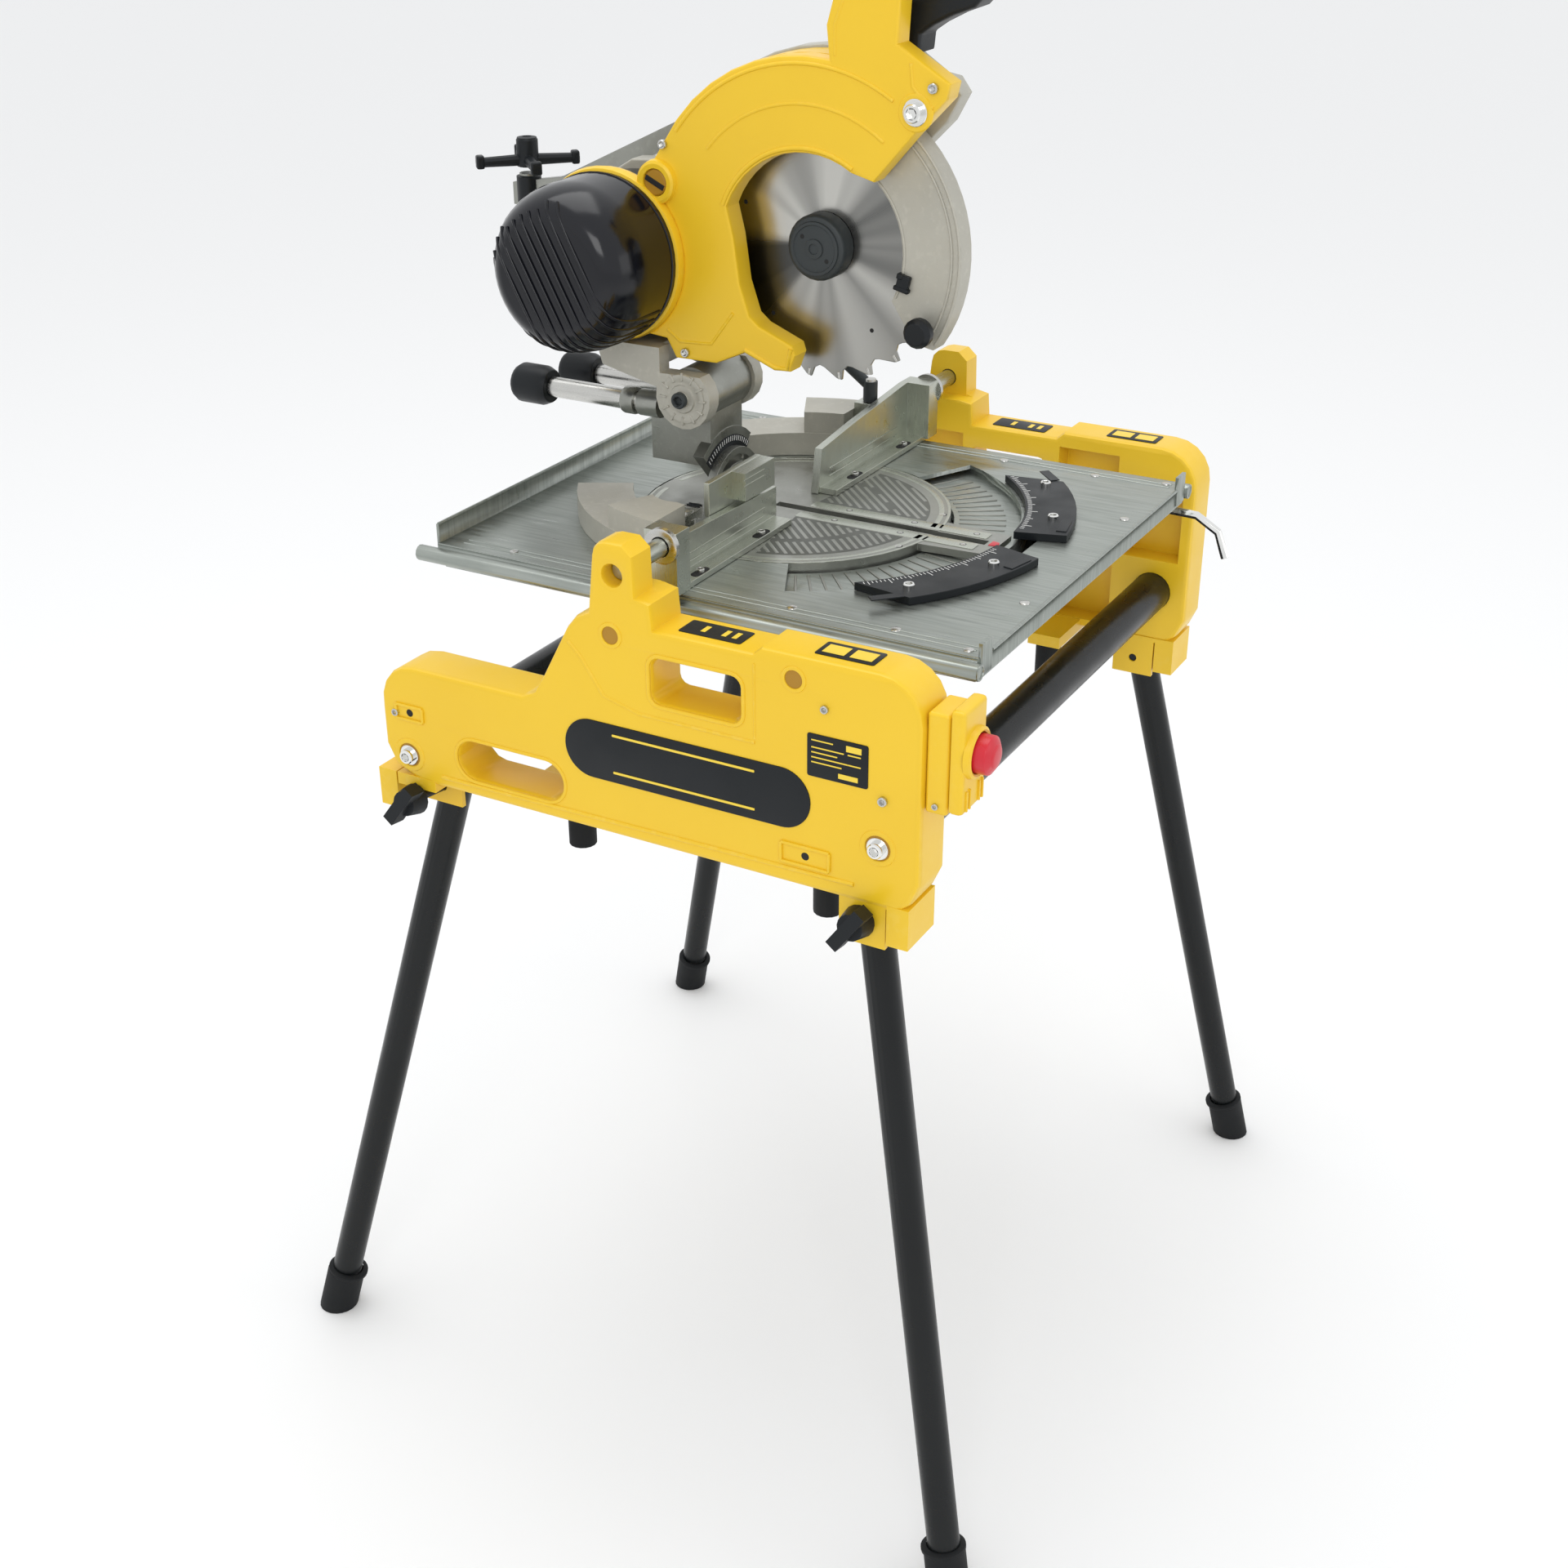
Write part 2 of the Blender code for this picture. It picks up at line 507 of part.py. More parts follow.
def make_tilt_arm():
    """The arm that tilts on the seat and carries the head's pivot, with its two rear rods and rubber ends."""
    wedge = [(0, TABLE_Z + 0.002)] + ring_points((0, TABLE_Z), 0.068, 48, 132, 9)
    arm = slab("tilt_arm", "Y", 0.1070, 0.1190, [wedge], CAST)
    neck = block("tilt_neck", (-0.030, 0.108, 0.908), (0.030, 0.1750, 0.975))
    join(arm, neck, rod("tilt_knuckle", (-0.034, PIVOT_Y, PIVOT_Z), (0.034, PIVOT_Y, PIVOT_Z), 0.026, sides=24))
    cut(arm, rod("head_pin_bore", (-0.06, PIVOT_Y, PIVOT_Z), (0.06, PIVOT_Y, PIVOT_Z), 0.0083, sides=20))
    for side, x, z in (("left", -0.038, 0.966), ("right", 0.045, 0.958)):
        join(arm, rod("rod_boss_" + side, (x, 0.1565, z), (x, 0.1800, z), 0.0130, sides=16),
             block("rod_web_" + side, (min(x, 0), 0.1570, z - 0.008), (max(x, 0), 0.1740, z + 0.008)))
        rod("rear_rod_" + side, (x, 0.1803, z), (x, 0.285, z), 0.0100, STEEL, 16)
        turned("rod_cap_" + side, (x, 0.2853, z), Y,
               ((0, 0.040), (0.016, 0.040), (0.0195, 0.034), (0.0195, 0.008), (0.016, 0), (0, 0)), BLACK_PLASTIC, 20)


def make_head_casting():
    """The light casting: guard back, motor mount, pivot fork and handle root, with bores for both shafts."""
    centre = (0, BLADE_Z)
    body = [(-0.085, BLADE_Z + 0.061), (-0.035, BLADE_Z + 0.02), (-0.030, BLADE_Z - 0.030),
            (0.020, BLADE_Z - 0.045), (0.090, 1.035), (0.140, 1.012), (0.215, 1.008), (0.262, 1.052),
            (0.278, 1.106), (0.255, 1.160), (0.215, 1.184)]
    front = [(-0.082, 1.296), (-0.104, 1.282), (-0.116, 1.280), (-0.126, 1.267), (-0.113, 1.243), (-0.092, 1.222)]
    outline = body + ring_points(centre, 0.172, 20, 95, 10) + [
        (-0.022, 1.330), (-0.026, 1.360), (-0.018, 1.395), (-0.030, 1.408), (-0.064, 1.411), (-0.0775, 1.360),
        (-0.0765, 1.328), (-0.068, 1.308)] + front
    casting = slab("head_casting", "X", 0.0105, 0.0335,
                   [outline, circle(centre, 0.0088, 16), circle((MOTOR_Y, MOTOR_Z), 0.0068, 16)], CAST_LIGHT, edge=0.002)
    fork = [(0.150, 1.002)] + ring_points((PIVOT_Y, PIVOT_Z), 0.030, 130, 375, 13)
    fork += [(0.215, 1.002), (0.222, 1.026), (0.150, 1.026)]
    join(casting, slab("fork_left", "X", -0.052, -0.0345, [fork]), slab("fork_right", "X", 0.0345, 0.050, [fork]),
         block("fork_web", (-0.052, 0.158, 1.004), (0.050, 0.214, 1.0255)))
    join(casting, rod("head_pin", (-0.0560, PIVOT_Y, PIVOT_Z), (0.054, PIVOT_Y, PIVOT_Z), 0.0080, sides=20))
    return casting


def make_blade_cover():
    """The yellow cover on the blade's left: a face with a round window, the rim over the blade and the nozzle."""
    centre = (0, BLADE_Z)
    face = [(-0.1045, 1.2385), (-0.068, 1.197)]
    face += ring_points((0, BLADE_Z + 0.001), 0.086, 122, 22, 14)
    face += [(0.073, 1.136), (0.067, 1.094), (0.057, 1.065), (0.047, 1.057), (0.012, 1.043), (0.009, 1.034),
             (0.015, 1.018), (0.030, 1.0175), (0.062, 1.030), (0.094, 1.0155), (0.138, 1.0150), (0.148, 1.0325)]
    face += ring_points((MOTOR_Y, MOTOR_Z), 0.0800, 243, 117, 12)
    face += ring_points(centre, 0.169, 30, 98, 9)
    face += [(-0.023, 1.300), (-0.0205, 1.324), (-0.0265, 1.345), (-0.024, 1.402), (-0.044, 1.412), (-0.078, 1.406),
             (-0.091, 1.348), (-0.0890, 1.313), (-0.139, 1.284), (-0.136, 1.271)]
    cover = slab("blade_cover", "X", -0.0420, -0.0165, [face], YELLOW, edge=0.0035)
    rim = ring_points(centre, 0.1690, 128, 26, 22) + ring_points(centre, 0.1475, 26, 128, 22)
    join(cover, slab("cover_rim", "X", -0.0200, 0.0101, [rim]))


def make_head():
    """The head: casting, cover, motor, belt drive, handle, trigger and height adjuster."""
    make_head_casting()
    make_blade_cover()
    motor = ((0, 0.1552), (0.052, 0.1552), (0.0600, 0.1520), (0.0665, 0.1460), (0.0715, 0.1375), (0.0750, 0.1270),
             (0.0770, 0.1160), (0.0775, 0.1050), (0.0775, 0.058), (0.072, 0.0535), (0.070, 0.052), (0.070, 0.0),
             (0.012, 0.0), (0.012, 0.012), (0, 0.012))
    turned("motor_housing", (0.0102, MOTOR_Y, MOTOR_Z), -X, motor, BLACK_GLOSS, 48)
    make_drive()
    grip = [(-0.0787, 1.304), (-0.0905, 1.300), (-0.0920, 1.316), (-0.104, 1.324), (-0.122, 1.333), (-0.141, 1.340),
            (-0.1525, 1.352), (-0.1565, 1.370), (-0.152, 1.392), (-0.136, 1.413), (-0.110, 1.428), (-0.064, 1.434),
            (-0.012, 1.428), (-0.012, 1.4135), (-0.064, 1.4160), (-0.096, 1.4100), (-0.116, 1.396), (-0.1235, 1.378),
            (-0.1225, 1.362), (-0.112, 1.351), (-0.094, 1.346), (-0.0787, 1.346)]
    handle = slab("handle_grip", "X", -0.006, 0.032, [grip], BLACK_PLASTIC, edge=0.005)
    cut(handle, block("trigger_slot", (0.0055, -0.1395, 1.3595), (0.0205, -0.1135, 1.3925)))
    block("trigger", (0.0060, -0.1335, 1.3600), (0.0200, -0.1125, 1.3920), RED, 0.002)
    bars = [(0.088, 1.262), (0.100, 1.244), (0.290, 1.140), (0.345, 1.118), (0.384, 1.118), (0.384, 1.140),
            (0.325, 1.150)]
    bracket = slab("adjuster_bracket", "X", 0.0505, 0.0600, [bars], CAST)
    join(bracket, rod("adjuster_post", (0.0550, 0.367, 1.012), (0.0550, 0.367, 1.150), 0.0095, sides=14),
         block("bracket_root", (0.0338, 0.070, 1.238), (0.0600, 0.108, 1.262)))
    x, y, z = ADJUSTER
    star = rod("adjuster_knob", (x, y, z), (x, y, z + 0.0260), 0.0110, BLACK_PLASTIC, 14)
    for k in range(4):
        turn = math.radians(45 + 90 * k)
        tip = Vector((x + 0.052 * math.cos(turn), y + 0.052 * math.sin(turn), z + 0.0055))
        join(star, rod(f"star_arm_{k}", (x, y, z + 0.0062), tip, 0.0060, sides=10, end_radius=0.0048))


def capsule(radius_a, radius_b, count=12):
    """The outline of a belt run round the blade axle and the motor axle."""
    a, b = Vector((0, BLADE_Z)), Vector((MOTOR_Y, MOTOR_Z))
    along = b - a
    lean = math.degrees(math.atan2(along.y, along.x))
    tilt = math.degrees(math.acos((radius_a - radius_b) / along.length))
    return (ring_points(a, radius_a, lean + tilt, lean + 360 - tilt, count)
            + ring_points(b, radius_b, lean - tilt, lean + tilt, count))


def make_drive():
    """The belt cover, the belt, the blade spindle with its pulley, the motor shaft, the blade and the lower guard."""
    cover = slab("belt_cover", "X", 0.0338, 0.0600, [capsule(0.040, 0.036)], BLACK_PLASTIC)
    cut(cover, slab("belt_room", "X", 0.03, 0.0570, [capsule(0.0365, 0.0325)]))
    blade_pulley_r, motor_pulley_r = 0.0270, 0.0225
    belt = [capsule(blade_pulley_r + part, motor_pulley_r + part) for part in (0.0035, 0.0007)]
    slab("drive_belt", "X", 0.0400, 0.0520, belt, RUBBER)
    spindle = rod("spindle", (-0.0060, 0, BLADE_Z), (0.0545, 0, BLADE_Z), 0.0080, STEEL, 16)
    join(spindle, rod("spindle_pulley", (0.0385, 0, BLADE_Z), (0.0535, 0, BLADE_Z), blade_pulley_r, sides=24),
         rod("inner_flange", (0.0018, 0, BLADE_Z), (0.0085, 0, BLADE_Z), 0.0240, sides=24))
    cap = ((0, 0.0200), (0.022, 0.0200), (0.028, 0.0175), (0.0300, 0.0140), (0.0300, 0), (0, 0))
    washer = turned("arbor_cap", (-0.0017, 0, BLADE_Z), -X, cap, GREY_PLASTIC, 24)
    cut(washer, rod("cap_bore", (-0.0066, 0, BLADE_Z), (0.01, 0, BLADE_Z), 0.0084, sides=16))
    shaft = rod("motor_shaft", (0.0, MOTOR_Y, MOTOR_Z), (0.0545, MOTOR_Y, MOTOR_Z), 0.0062, STEEL, 16)
    join(shaft, rod("motor_pulley", (0.0385, MOTOR_Y, MOTOR_Z), (0.0535, MOTOR_Y, MOTOR_Z), motor_pulley_r, sides=24))
    make_blade()
    make_lower_guard()


def make_blade():
    """The saw blade: a disc with hooked teeth."""
    teeth = 24
    outline = []
    for k in range(teeth):
        step = 360 / teeth
        for share, radius in ((0.0, 0.1140), (0.16, 0.1125), (0.34, 0.1160), (0.42, BLADE_R), (0.58, BLADE_R - 0.0015)):
            turn = math.radians((k + share) * step)
            outline.append((radius * math.cos(turn), BLADE_Z + radius * math.sin(turn)))
    slab("blade", "X", -0.0013, 0.0013, [outline, circle((0, BLADE_Z), 0.0084, 16)], STEEL)


def make_lower_guard():
    """The swinging guard: a face on the left of the blade and a rim round its edge, with its knob."""
    centre = (0, BLADE_Z)
    face = ring_points(centre, 0.1420, 118, 214, 18) + [(-0.099, 1.053), (-0.090, 1.066)]
    face += ring_points(centre, 0.0850, 208, 118, 14)
    guard = slab("lower_guard", "X", -0.0140, -0.0110, [face], CAST_LIGHT)
    rim = ring_points(centre, 0.1420, 118, 214, 18) + ring_points(centre, 0.1385, 214, 118, 18)
    spoke = ring_points(centre, 0.1400, 128, 204, 12) + ring_points(centre, 0.0300, 204, 128, 8)
    join(guard, slab("guard_rim", "X", -0.0125, 0.0080, [rim]),
         slab("guard_spoke", "X", 0.0050, 0.0076, [spoke]),
         slab("guard_hub", "X", 0.0046, 0.0080, [circle(centre, 0.0340, 28), circle(centre, 0.0256, 28)]))
    knob = ((0, 0.024), (0.010, 0.024), (0.0135, 0.019), (0.0135, 0.012), (0.006, 0.006), (0.006, 0), (0, 0))
    turned("guard_knob", (-0.0143, -0.110, 1.068), -X, knob, BLACK_PLASTIC, 16)


def make_latches():
    """The bent rod that latches the table at the front right, and the cable hook inside the right housing."""
    latch = ((0.250, -0.262, 0.8405), (0.250, -0.292, 0.8395), (0.250, -0.315, 0.826), (0.250, -0.325, 0.800))
    hook = ((0.2945, -0.150, 0.822), (0.275, -0.156, 0.822), (0.266, -0.172, 0.818), (0.264, -0.190, 0.806),
            (0.266, -0.192, 0.790))
    for name, points, radius, paint in (("table_latch", latch, 0.0045, STEEL),
                                        ("cable_hook", hook, 0.0055, BLACK_PLASTIC)):
        curve = bpy.data.curves.new(name, "CURVE")
        curve.dimensions = "3D"
        curve.bevel_depth = radius
        curve.bevel_resolution = 2
        curve.use_fill_caps = True
        spline = curve.splines.new("POLY")
        spline.points.add(len(points) - 1)
        for point, place in zip(spline.points, points):
            point.co = (*place, 1)
        made = bpy.data.objects.new(name, curve)
        bpy.data.collections["mitre_saw_on_stand"].objects.link(made)
        made.parent = ORIGIN
        curve.materials.append(paint)


def place_origins():
    """Moves each turning piece's origin onto its own axis."""
    blade, motor, head = (0, 0, BLADE_Z), (0, MOTOR_Y, MOTOR_Z), (0, PIVOT_Y, PIVOT_Z)
    flip_axis, tilt, turn = (0, FLIP_Y, FLIP_Z), (0, 0.107, TABLE_Z), (0, TURN_Y, TABLE_Z)
    origins = {"blade": blade, "spindle": blade, "lower_guard": blade, "drive_belt": blade,
               "motor_shaft": motor, "head_casting": head, "blade_cover": head, "belt_cover": head,
               "handle_grip": head, "adjuster_bracket": head, "trigger": (0.013, -0.1235, 1.3760),
               "adjuster_knob": ADJUSTER, "tilt_arm": tilt, "turntable": turn, "tilt_seat": turn,
               "table_plate": flip_axis, "bench_plate": flip_axis, "fence_left": flip_axis, "fence_right": flip_axis,
               "wing_left": flip_axis, "wing_right": flip_axis, "mitre_scale_left": flip_axis,
               "mitre_scale_right": flip_axis, "fence_slider": (-0.100, 0.0409, 0.920),
               "fence_lever": (*LEVER, 0.9255), "mitre_knob": (*MITRE_KNOB, TABLE_Z),
               "stop_flap": (-0.320, FLAP_HINGE_Y, FLAP_HINGE_Z)}
    for end, pivot in (("front", FRONT_PIVOT), ("rear", REAR_PIVOT)):
        for side, turned_to in (("left", Vector), ("right", flip)):
            origins[f"leg_{end}_{side}"] = origins[f"leg_foot_{end}_{side}"] = turned_to(pivot)
            origins[f"leg_knob_{end}_{side}"] = turned_to(pivot)
    for name, point in origins.items():
        made = bpy.data.objects[name]
        made.data.transform(Matrix.Translation(-Vector(point)))
        made.location = point


ORIGIN = start_scene()
YELLOW = material("yellow_paint", (0.88, 0.60, 0.03), 0.35)
BLACK_PAINT = material("black_tube", (0.012, 0.014, 0.016), 0.3)
RUBBER = material("black_rubber", (0.02, 0.022, 0.024), 0.75)
BLACK_PLASTIC = material("black_plastic", (0.018, 0.02, 0.023), 0.5)
BLACK_GLOSS = material("motor_black", (0.008, 0.010, 0.016), 0.2)
GREY_PLASTIC = material("grey_plastic", (0.06, 0.07, 0.075), 0.5)
RED = material("red_plastic", (0.62, 0.015, 0.03), 0.35)
GALVANISED = material("galvanised_sheet", (0.52, 0.55, 0.54), 0.4, 0.8)
CAST = material("cast_aluminium", (0.50, 0.50, 0.47), 0.45, 0.7)
CAST_LIGHT = material("painted_casting", (0.60, 0.59, 0.54), 0.4, 0.3)
STEEL = material("bright_steel", (0.60, 0.60, 0.58), 0.25, 1.0)
make_stand()
make_legs()
make_table()
make_turntable()
make_tilt_arm()
make_head()
make_latches()
place_origins()
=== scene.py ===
"""The looks of the flip-over mitre saw: materials, fine parts and the studio set around the CAD frame.

Lengths are in metres in the CAD's row frame: +X is the operator's right, -Y faces the operator, +Z is up.
Most places are written with the blade's centre at y = 0, as in the CAD source, and shifted by SAW_Y.
"""

import math

import bmesh
import bpy
from mathutils import Matrix, Vector


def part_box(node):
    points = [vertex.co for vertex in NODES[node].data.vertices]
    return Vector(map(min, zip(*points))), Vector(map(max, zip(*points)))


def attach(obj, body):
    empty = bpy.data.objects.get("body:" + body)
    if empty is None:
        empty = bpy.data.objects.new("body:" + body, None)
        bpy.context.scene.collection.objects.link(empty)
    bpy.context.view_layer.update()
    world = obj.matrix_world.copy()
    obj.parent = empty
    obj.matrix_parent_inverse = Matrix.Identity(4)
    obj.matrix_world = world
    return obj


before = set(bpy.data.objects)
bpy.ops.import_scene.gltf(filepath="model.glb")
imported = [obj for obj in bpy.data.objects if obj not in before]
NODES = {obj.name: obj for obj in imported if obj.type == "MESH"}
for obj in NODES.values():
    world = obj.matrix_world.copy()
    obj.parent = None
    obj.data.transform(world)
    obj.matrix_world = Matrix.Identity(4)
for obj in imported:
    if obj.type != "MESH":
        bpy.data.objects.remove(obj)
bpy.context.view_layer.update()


def centre(node):
    low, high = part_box(node)
    return (Vector(low) + Vector(high)) / 2


SAW_Y = centre("spindle").y
BLADE = Vector((0, SAW_Y, centre("spindle").z))
MOTOR = Vector((0, centre("motor_shaft").y, centre("motor_shaft").z))
PIVOT = Vector((0, 0.125 + SAW_Y, 0.980))
TABLE_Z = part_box("turntable")[1][2]
TURN = Vector((0, 0.030 + SAW_Y, TABLE_Z))
SIDE_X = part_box("right_housing")[1][0]
COVER_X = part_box("blade_cover")[0][0]
SIDES = (("left", -1), ("right", 1))
X, Y, Z = Vector((1, 0, 0)), Vector((0, 1, 0)), Vector((0, 0, 1))
UP_AXIS = {"X": X, "Y": Y, "Z": Z}


def at(x, y, z):
    """A point whose y is measured from the blade's centre."""
    return Vector((x, y + SAW_Y, z))


# Materials

class Paint:
    """A Principled material built up node by node."""

    def __init__(self, name, colour, roughness, metallic=0.0, **fixed):
        self.made = bpy.data.materials.new(name)
        self.made.use_nodes = True
        self.tree = self.made.node_tree
        self.shader = self.tree.nodes["Principled BSDF"]
        self.colour = colour
        self.shader.inputs["Base Color"].default_value = (*colour, 1)
        self.shader.inputs["Roughness"].default_value = roughness
        self.shader.inputs["Metallic"].default_value = metallic
        for key, value in fixed.items():
            self.shader.inputs[key.replace("_", " ")].default_value = value
        self.place = self.node("ShaderNodeTexCoord").outputs["Object"]
        self.height = None

    def node(self, kind, **settings):
        made = self.tree.nodes.new(kind)
        for key, value in settings.items():
            setattr(made, key, value)
        return made

    def link(self, source, target):
        self.tree.links.new(source, target)

    def stretched(self, scale, turn=(0, 0, 0)):
        """Object coordinates scaled unevenly and turned, for brushed or streaked finishes."""
        mapping = self.node("ShaderNodeMapping")
        mapping.inputs["Scale"].default_value = scale
        mapping.inputs["Rotation"].default_value = turn
        self.link(self.place, mapping.inputs["Vector"])
        return mapping.outputs["Vector"]

    def noise(self, scale, detail=3, place=None):
        made = self.node("ShaderNodeTexNoise")
        made.inputs["Scale"].default_value = scale
        made.inputs["Detail"].default_value = detail
        self.link(place or self.place, made.inputs["Vector"])
        return made.outputs["Fac"]

    def cells(self, scale, place=None):
        made = self.node("ShaderNodeTexVoronoi")
        made.inputs["Scale"].default_value = scale
        self.link(place or self.place, made.inputs["Vector"])
        return made

    def ramp(self, value, low, high, out_low, out_high):
        made = self.node("ShaderNodeMapRange")
        for key, number in (("From Min", low), ("From Max", high), ("To Min", out_low), ("To Max", out_high)):
            made.inputs[key].default_value = number
        self.link(value, made.inputs["Value"])
        return made.outputs["Result"]

    def tint(self, value, other, strength=1.0):
        """Mixes the base colour towards another by value."""
        mix = self.node("ShaderNodeMix", data_type="RGBA")
        mix.inputs["B"].default_value = (*other, 1)
        base = self.shader.inputs["Base Color"]
        if base.is_linked:
            self.link(base.links[0].from_socket, mix.inputs["A"])
        else:
            mix.inputs["A"].default_value = base.default_value
        self.link(self.ramp(value, 0, 1, 0, strength), mix.inputs["Factor"])
        self.link(mix.outputs["Result"], base)
        return self

    def rough(self, value, low, high):
        self.link(self.ramp(value, 0.3, 0.7, low, high), self.shader.inputs["Roughness"])
        return self

    def bump(self, value, depth, strength=1.0):
        made = self.node("ShaderNodeBump")
        made.inputs["Distance"].default_value = depth
        made.inputs["Strength"].default_value = strength
        self.link(value, made.inputs["Height"])
        if self.height:
            self.link(self.height, made.inputs["Normal"])
        self.height = made.outputs["Normal"]
        self.link(self.height, self.shader.inputs["Normal"])
        return self

    def worn(self, other, scale=140):
        """Scuffed convex edges: lighter where the surface curves and a noise allows it."""
        geometry = self.node("ShaderNodeNewGeometry")
        edge = self.ramp(geometry.outputs["Pointiness"], 0.53, 0.60, 0, 1)
        patch = self.ramp(self.noise(scale, 4), 0.52, 0.62, 0, 1)
        both = self.node("ShaderNodeMath", operation="MULTIPLY")
        self.link(edge, both.inputs[0])
        self.link(patch, both.inputs[1])
        return self.tint(both.outputs["Value"], other, 0.20)


def moulded(name, colour, roughness, dust, grain=900, depth=0.00012, **fixed):
    """Moulded plastic or powder coat: fine grain, soft cloudiness and rubbed patches."""
    paint = Paint(name, colour, roughness, **fixed)
    cloud = paint.noise(7, 4)
    paint.tint(paint.ramp(cloud, 0.35, 0.75, 0, 1), dust, 0.25)
    paint.rough(paint.noise(22, 5), roughness - 0.06, roughness + 0.10)
    paint.bump(paint.noise(grain, 2), depth, 0.55)
    paint.bump(paint.noise(38, 2), 0.0004, 0.12)
    return paint


def cast_metal(name, colour, roughness, metallic, grain=520):
    """Sand-cast or painted aluminium with a dimpled skin."""
    paint = Paint(name, colour, roughness, metallic)
    paint.tint(paint.ramp(paint.noise(12, 5), 0.4, 0.7, 0, 1), tuple(c * 0.72 for c in colour), 0.45)
    bright = tuple(min(1, c * 1.25) for c in colour)
    paint.tint(paint.ramp(paint.noise(160, 3), 0.55, 0.75, 0, 1), bright, 0.35)
    paint.rough(paint.noise(30, 4), roughness - 0.08, roughness + 0.14)
    paint.bump(paint.noise(grain, 3), 0.00022, 0.6)
    return paint


def brushed(name, colour, roughness, stretch, metallic=1.0, streak=0.3):
    """Metal with fine streaks along one direction."""
    paint = Paint(name, colour, roughness, metallic)
    grain = paint.noise(60, 5, paint.stretched(stretch))
    paint.tint(paint.ramp(grain, 0.35, 0.7, 0, 1), tuple(c * 0.7 for c in colour), streak)
    paint.rough(grain, roughness - 0.07, roughness + 0.12)
    paint.bump(grain, 0.00006, 0.5)
    paint.tint(paint.ramp(paint.noise(9, 4), 0.45, 0.75, 0, 1), tuple(c * 0.8 for c in colour), 0.35)
    return paint


def galvanised():
    """Zinc-coated sheet: faint spangle, rolling streaks and dull patches."""
    paint = Paint("galvanised_sheet", (0.37, 0.395, 0.365), 0.27, 0.90)
    spangle = paint.cells(70)
    paint.tint(paint.ramp(spangle.outputs["Color"], 0.0, 1.0, 0, 1), (0.40, 0.43, 0.40), 0.30)
    streaks = paint.noise(14, 5, paint.stretched((26, 1.0, 1.0)))
    paint.tint(paint.ramp(streaks, 0.4, 0.7, 0, 1), (0.20, 0.225, 0.205), 0.50)
    paint.rough(paint.noise(16, 5, paint.stretched((9, 1.4, 1))), 0.26, 0.46)
    paint.bump(streaks, 0.00012, 0.35)
    paint.bump(spangle.outputs["Distance"], 0.0001, 0.25)
    return paint


def blade_steel():
    """Ground steel whose colour carries a painted reflection: light and dark sectors round the centre
    standing for how the turned finish catches the light; and faint rings.
    """
    paint = Paint("blade_steel", (0.20, 0.20, 0.19), 0.22, 1.0)
    local = paint.node("ShaderNodeVectorMath", operation="SUBTRACT")
    local.inputs[1].default_value = BLADE
    paint.link(paint.place, local.inputs[0])
    split = paint.node("ShaderNodeSeparateXYZ")
    paint.link(local.outputs["Vector"], split.inputs["Vector"])
    angle = paint.node("ShaderNodeMath", operation="ARCTAN2")
    paint.link(split.outputs["Z"], angle.inputs[0])
    paint.link(split.outputs["Y"], angle.inputs[1])
    painted_reflection_sweep = paint.node("ShaderNodeTexNoise", noise_dimensions="1D")
    painted_reflection_sweep.inputs["Scale"].default_value = 0.9
    painted_reflection_sweep.inputs["Detail"].default_value = 2
    paint.link(angle.outputs["Value"], painted_reflection_sweep.inputs["W"])
    length = paint.node("ShaderNodeVectorMath", operation="LENGTH")
    paint.link(local.outputs["Vector"], length.inputs[0])
    rings = paint.node("ShaderNodeTexNoise", noise_dimensions="1D")
    rings.inputs["Scale"].default_value = 900
    rings.inputs["Detail"].default_value = 2
    paint.link(length.outputs["Value"], rings.inputs["W"])
    # Painted reflection: sectors of the blade's colour lightened and darkened by angle, standing for light
    # and shade on the turned finish.
    paint.tint(paint.ramp(painted_reflection_sweep.outputs["Fac"], 0.42, 0.62, 0, 1), (0.62, 0.61, 0.57), 0.85)
    paint.tint(paint.ramp(painted_reflection_sweep.outputs["Fac"], 0.48, 0.36, 0, 1), (0.055, 0.058, 0.06), 0.85)
    paint.rough(painted_reflection_sweep.outputs["Fac"], 0.30, 0.22)
    paint.bump(rings.outputs["Fac"], 0.00004, 0.5)
    return paint


YELLOW = moulded("yellow_moulding", (0.84, 0.545, 0.020), 0.34, (0.72, 0.42, 0.012),
                 Specular_IOR_Level=0.45)
YELLOW.worn((0.88, 0.66, 0.14))
BLACK_TUBE = moulded("black_powder_coat", (0.0035, 0.0045, 0.005), 0.26, (0.010, 0.012, 0.013),
                     1500, 0.00004, Specular_IOR_Level=0.30)
RUBBER = moulded("black_rubber", (0.006, 0.007, 0.008), 0.62, (0.020, 0.021, 0.022), 700, 0.0001,
                 Specular_IOR_Level=0.25)
BLACK = moulded("black_plastic", (0.005, 0.007, 0.009), 0.42, (0.014, 0.017, 0.020), 1100, 0.0001,
                Specular_IOR_Level=0.30)
GLOSS = moulded("black_gloss_plastic", (0.0025, 0.003, 0.006), 0.15, (0.006, 0.007, 0.011), 1600, 0.00002,
                Specular_IOR_Level=0.42)
GREY = moulded("grey_plastic", (0.030, 0.036, 0.038), 0.45, (0.055, 0.062, 0.064),
               Specular_IOR_Level=0.35)
RED = moulded("red_plastic", (0.60, 0.012, 0.028), 0.30, (0.45, 0.01, 0.02), 1200, 0.00005)
GALVANISED = galvanised()
CAST = cast_metal("cast_aluminium", (0.34, 0.345, 0.315), 0.34, 0.90)
MACHINED = brushed("machined_aluminium", (0.50, 0.52, 0.46), 0.30, (1, 30, 1))
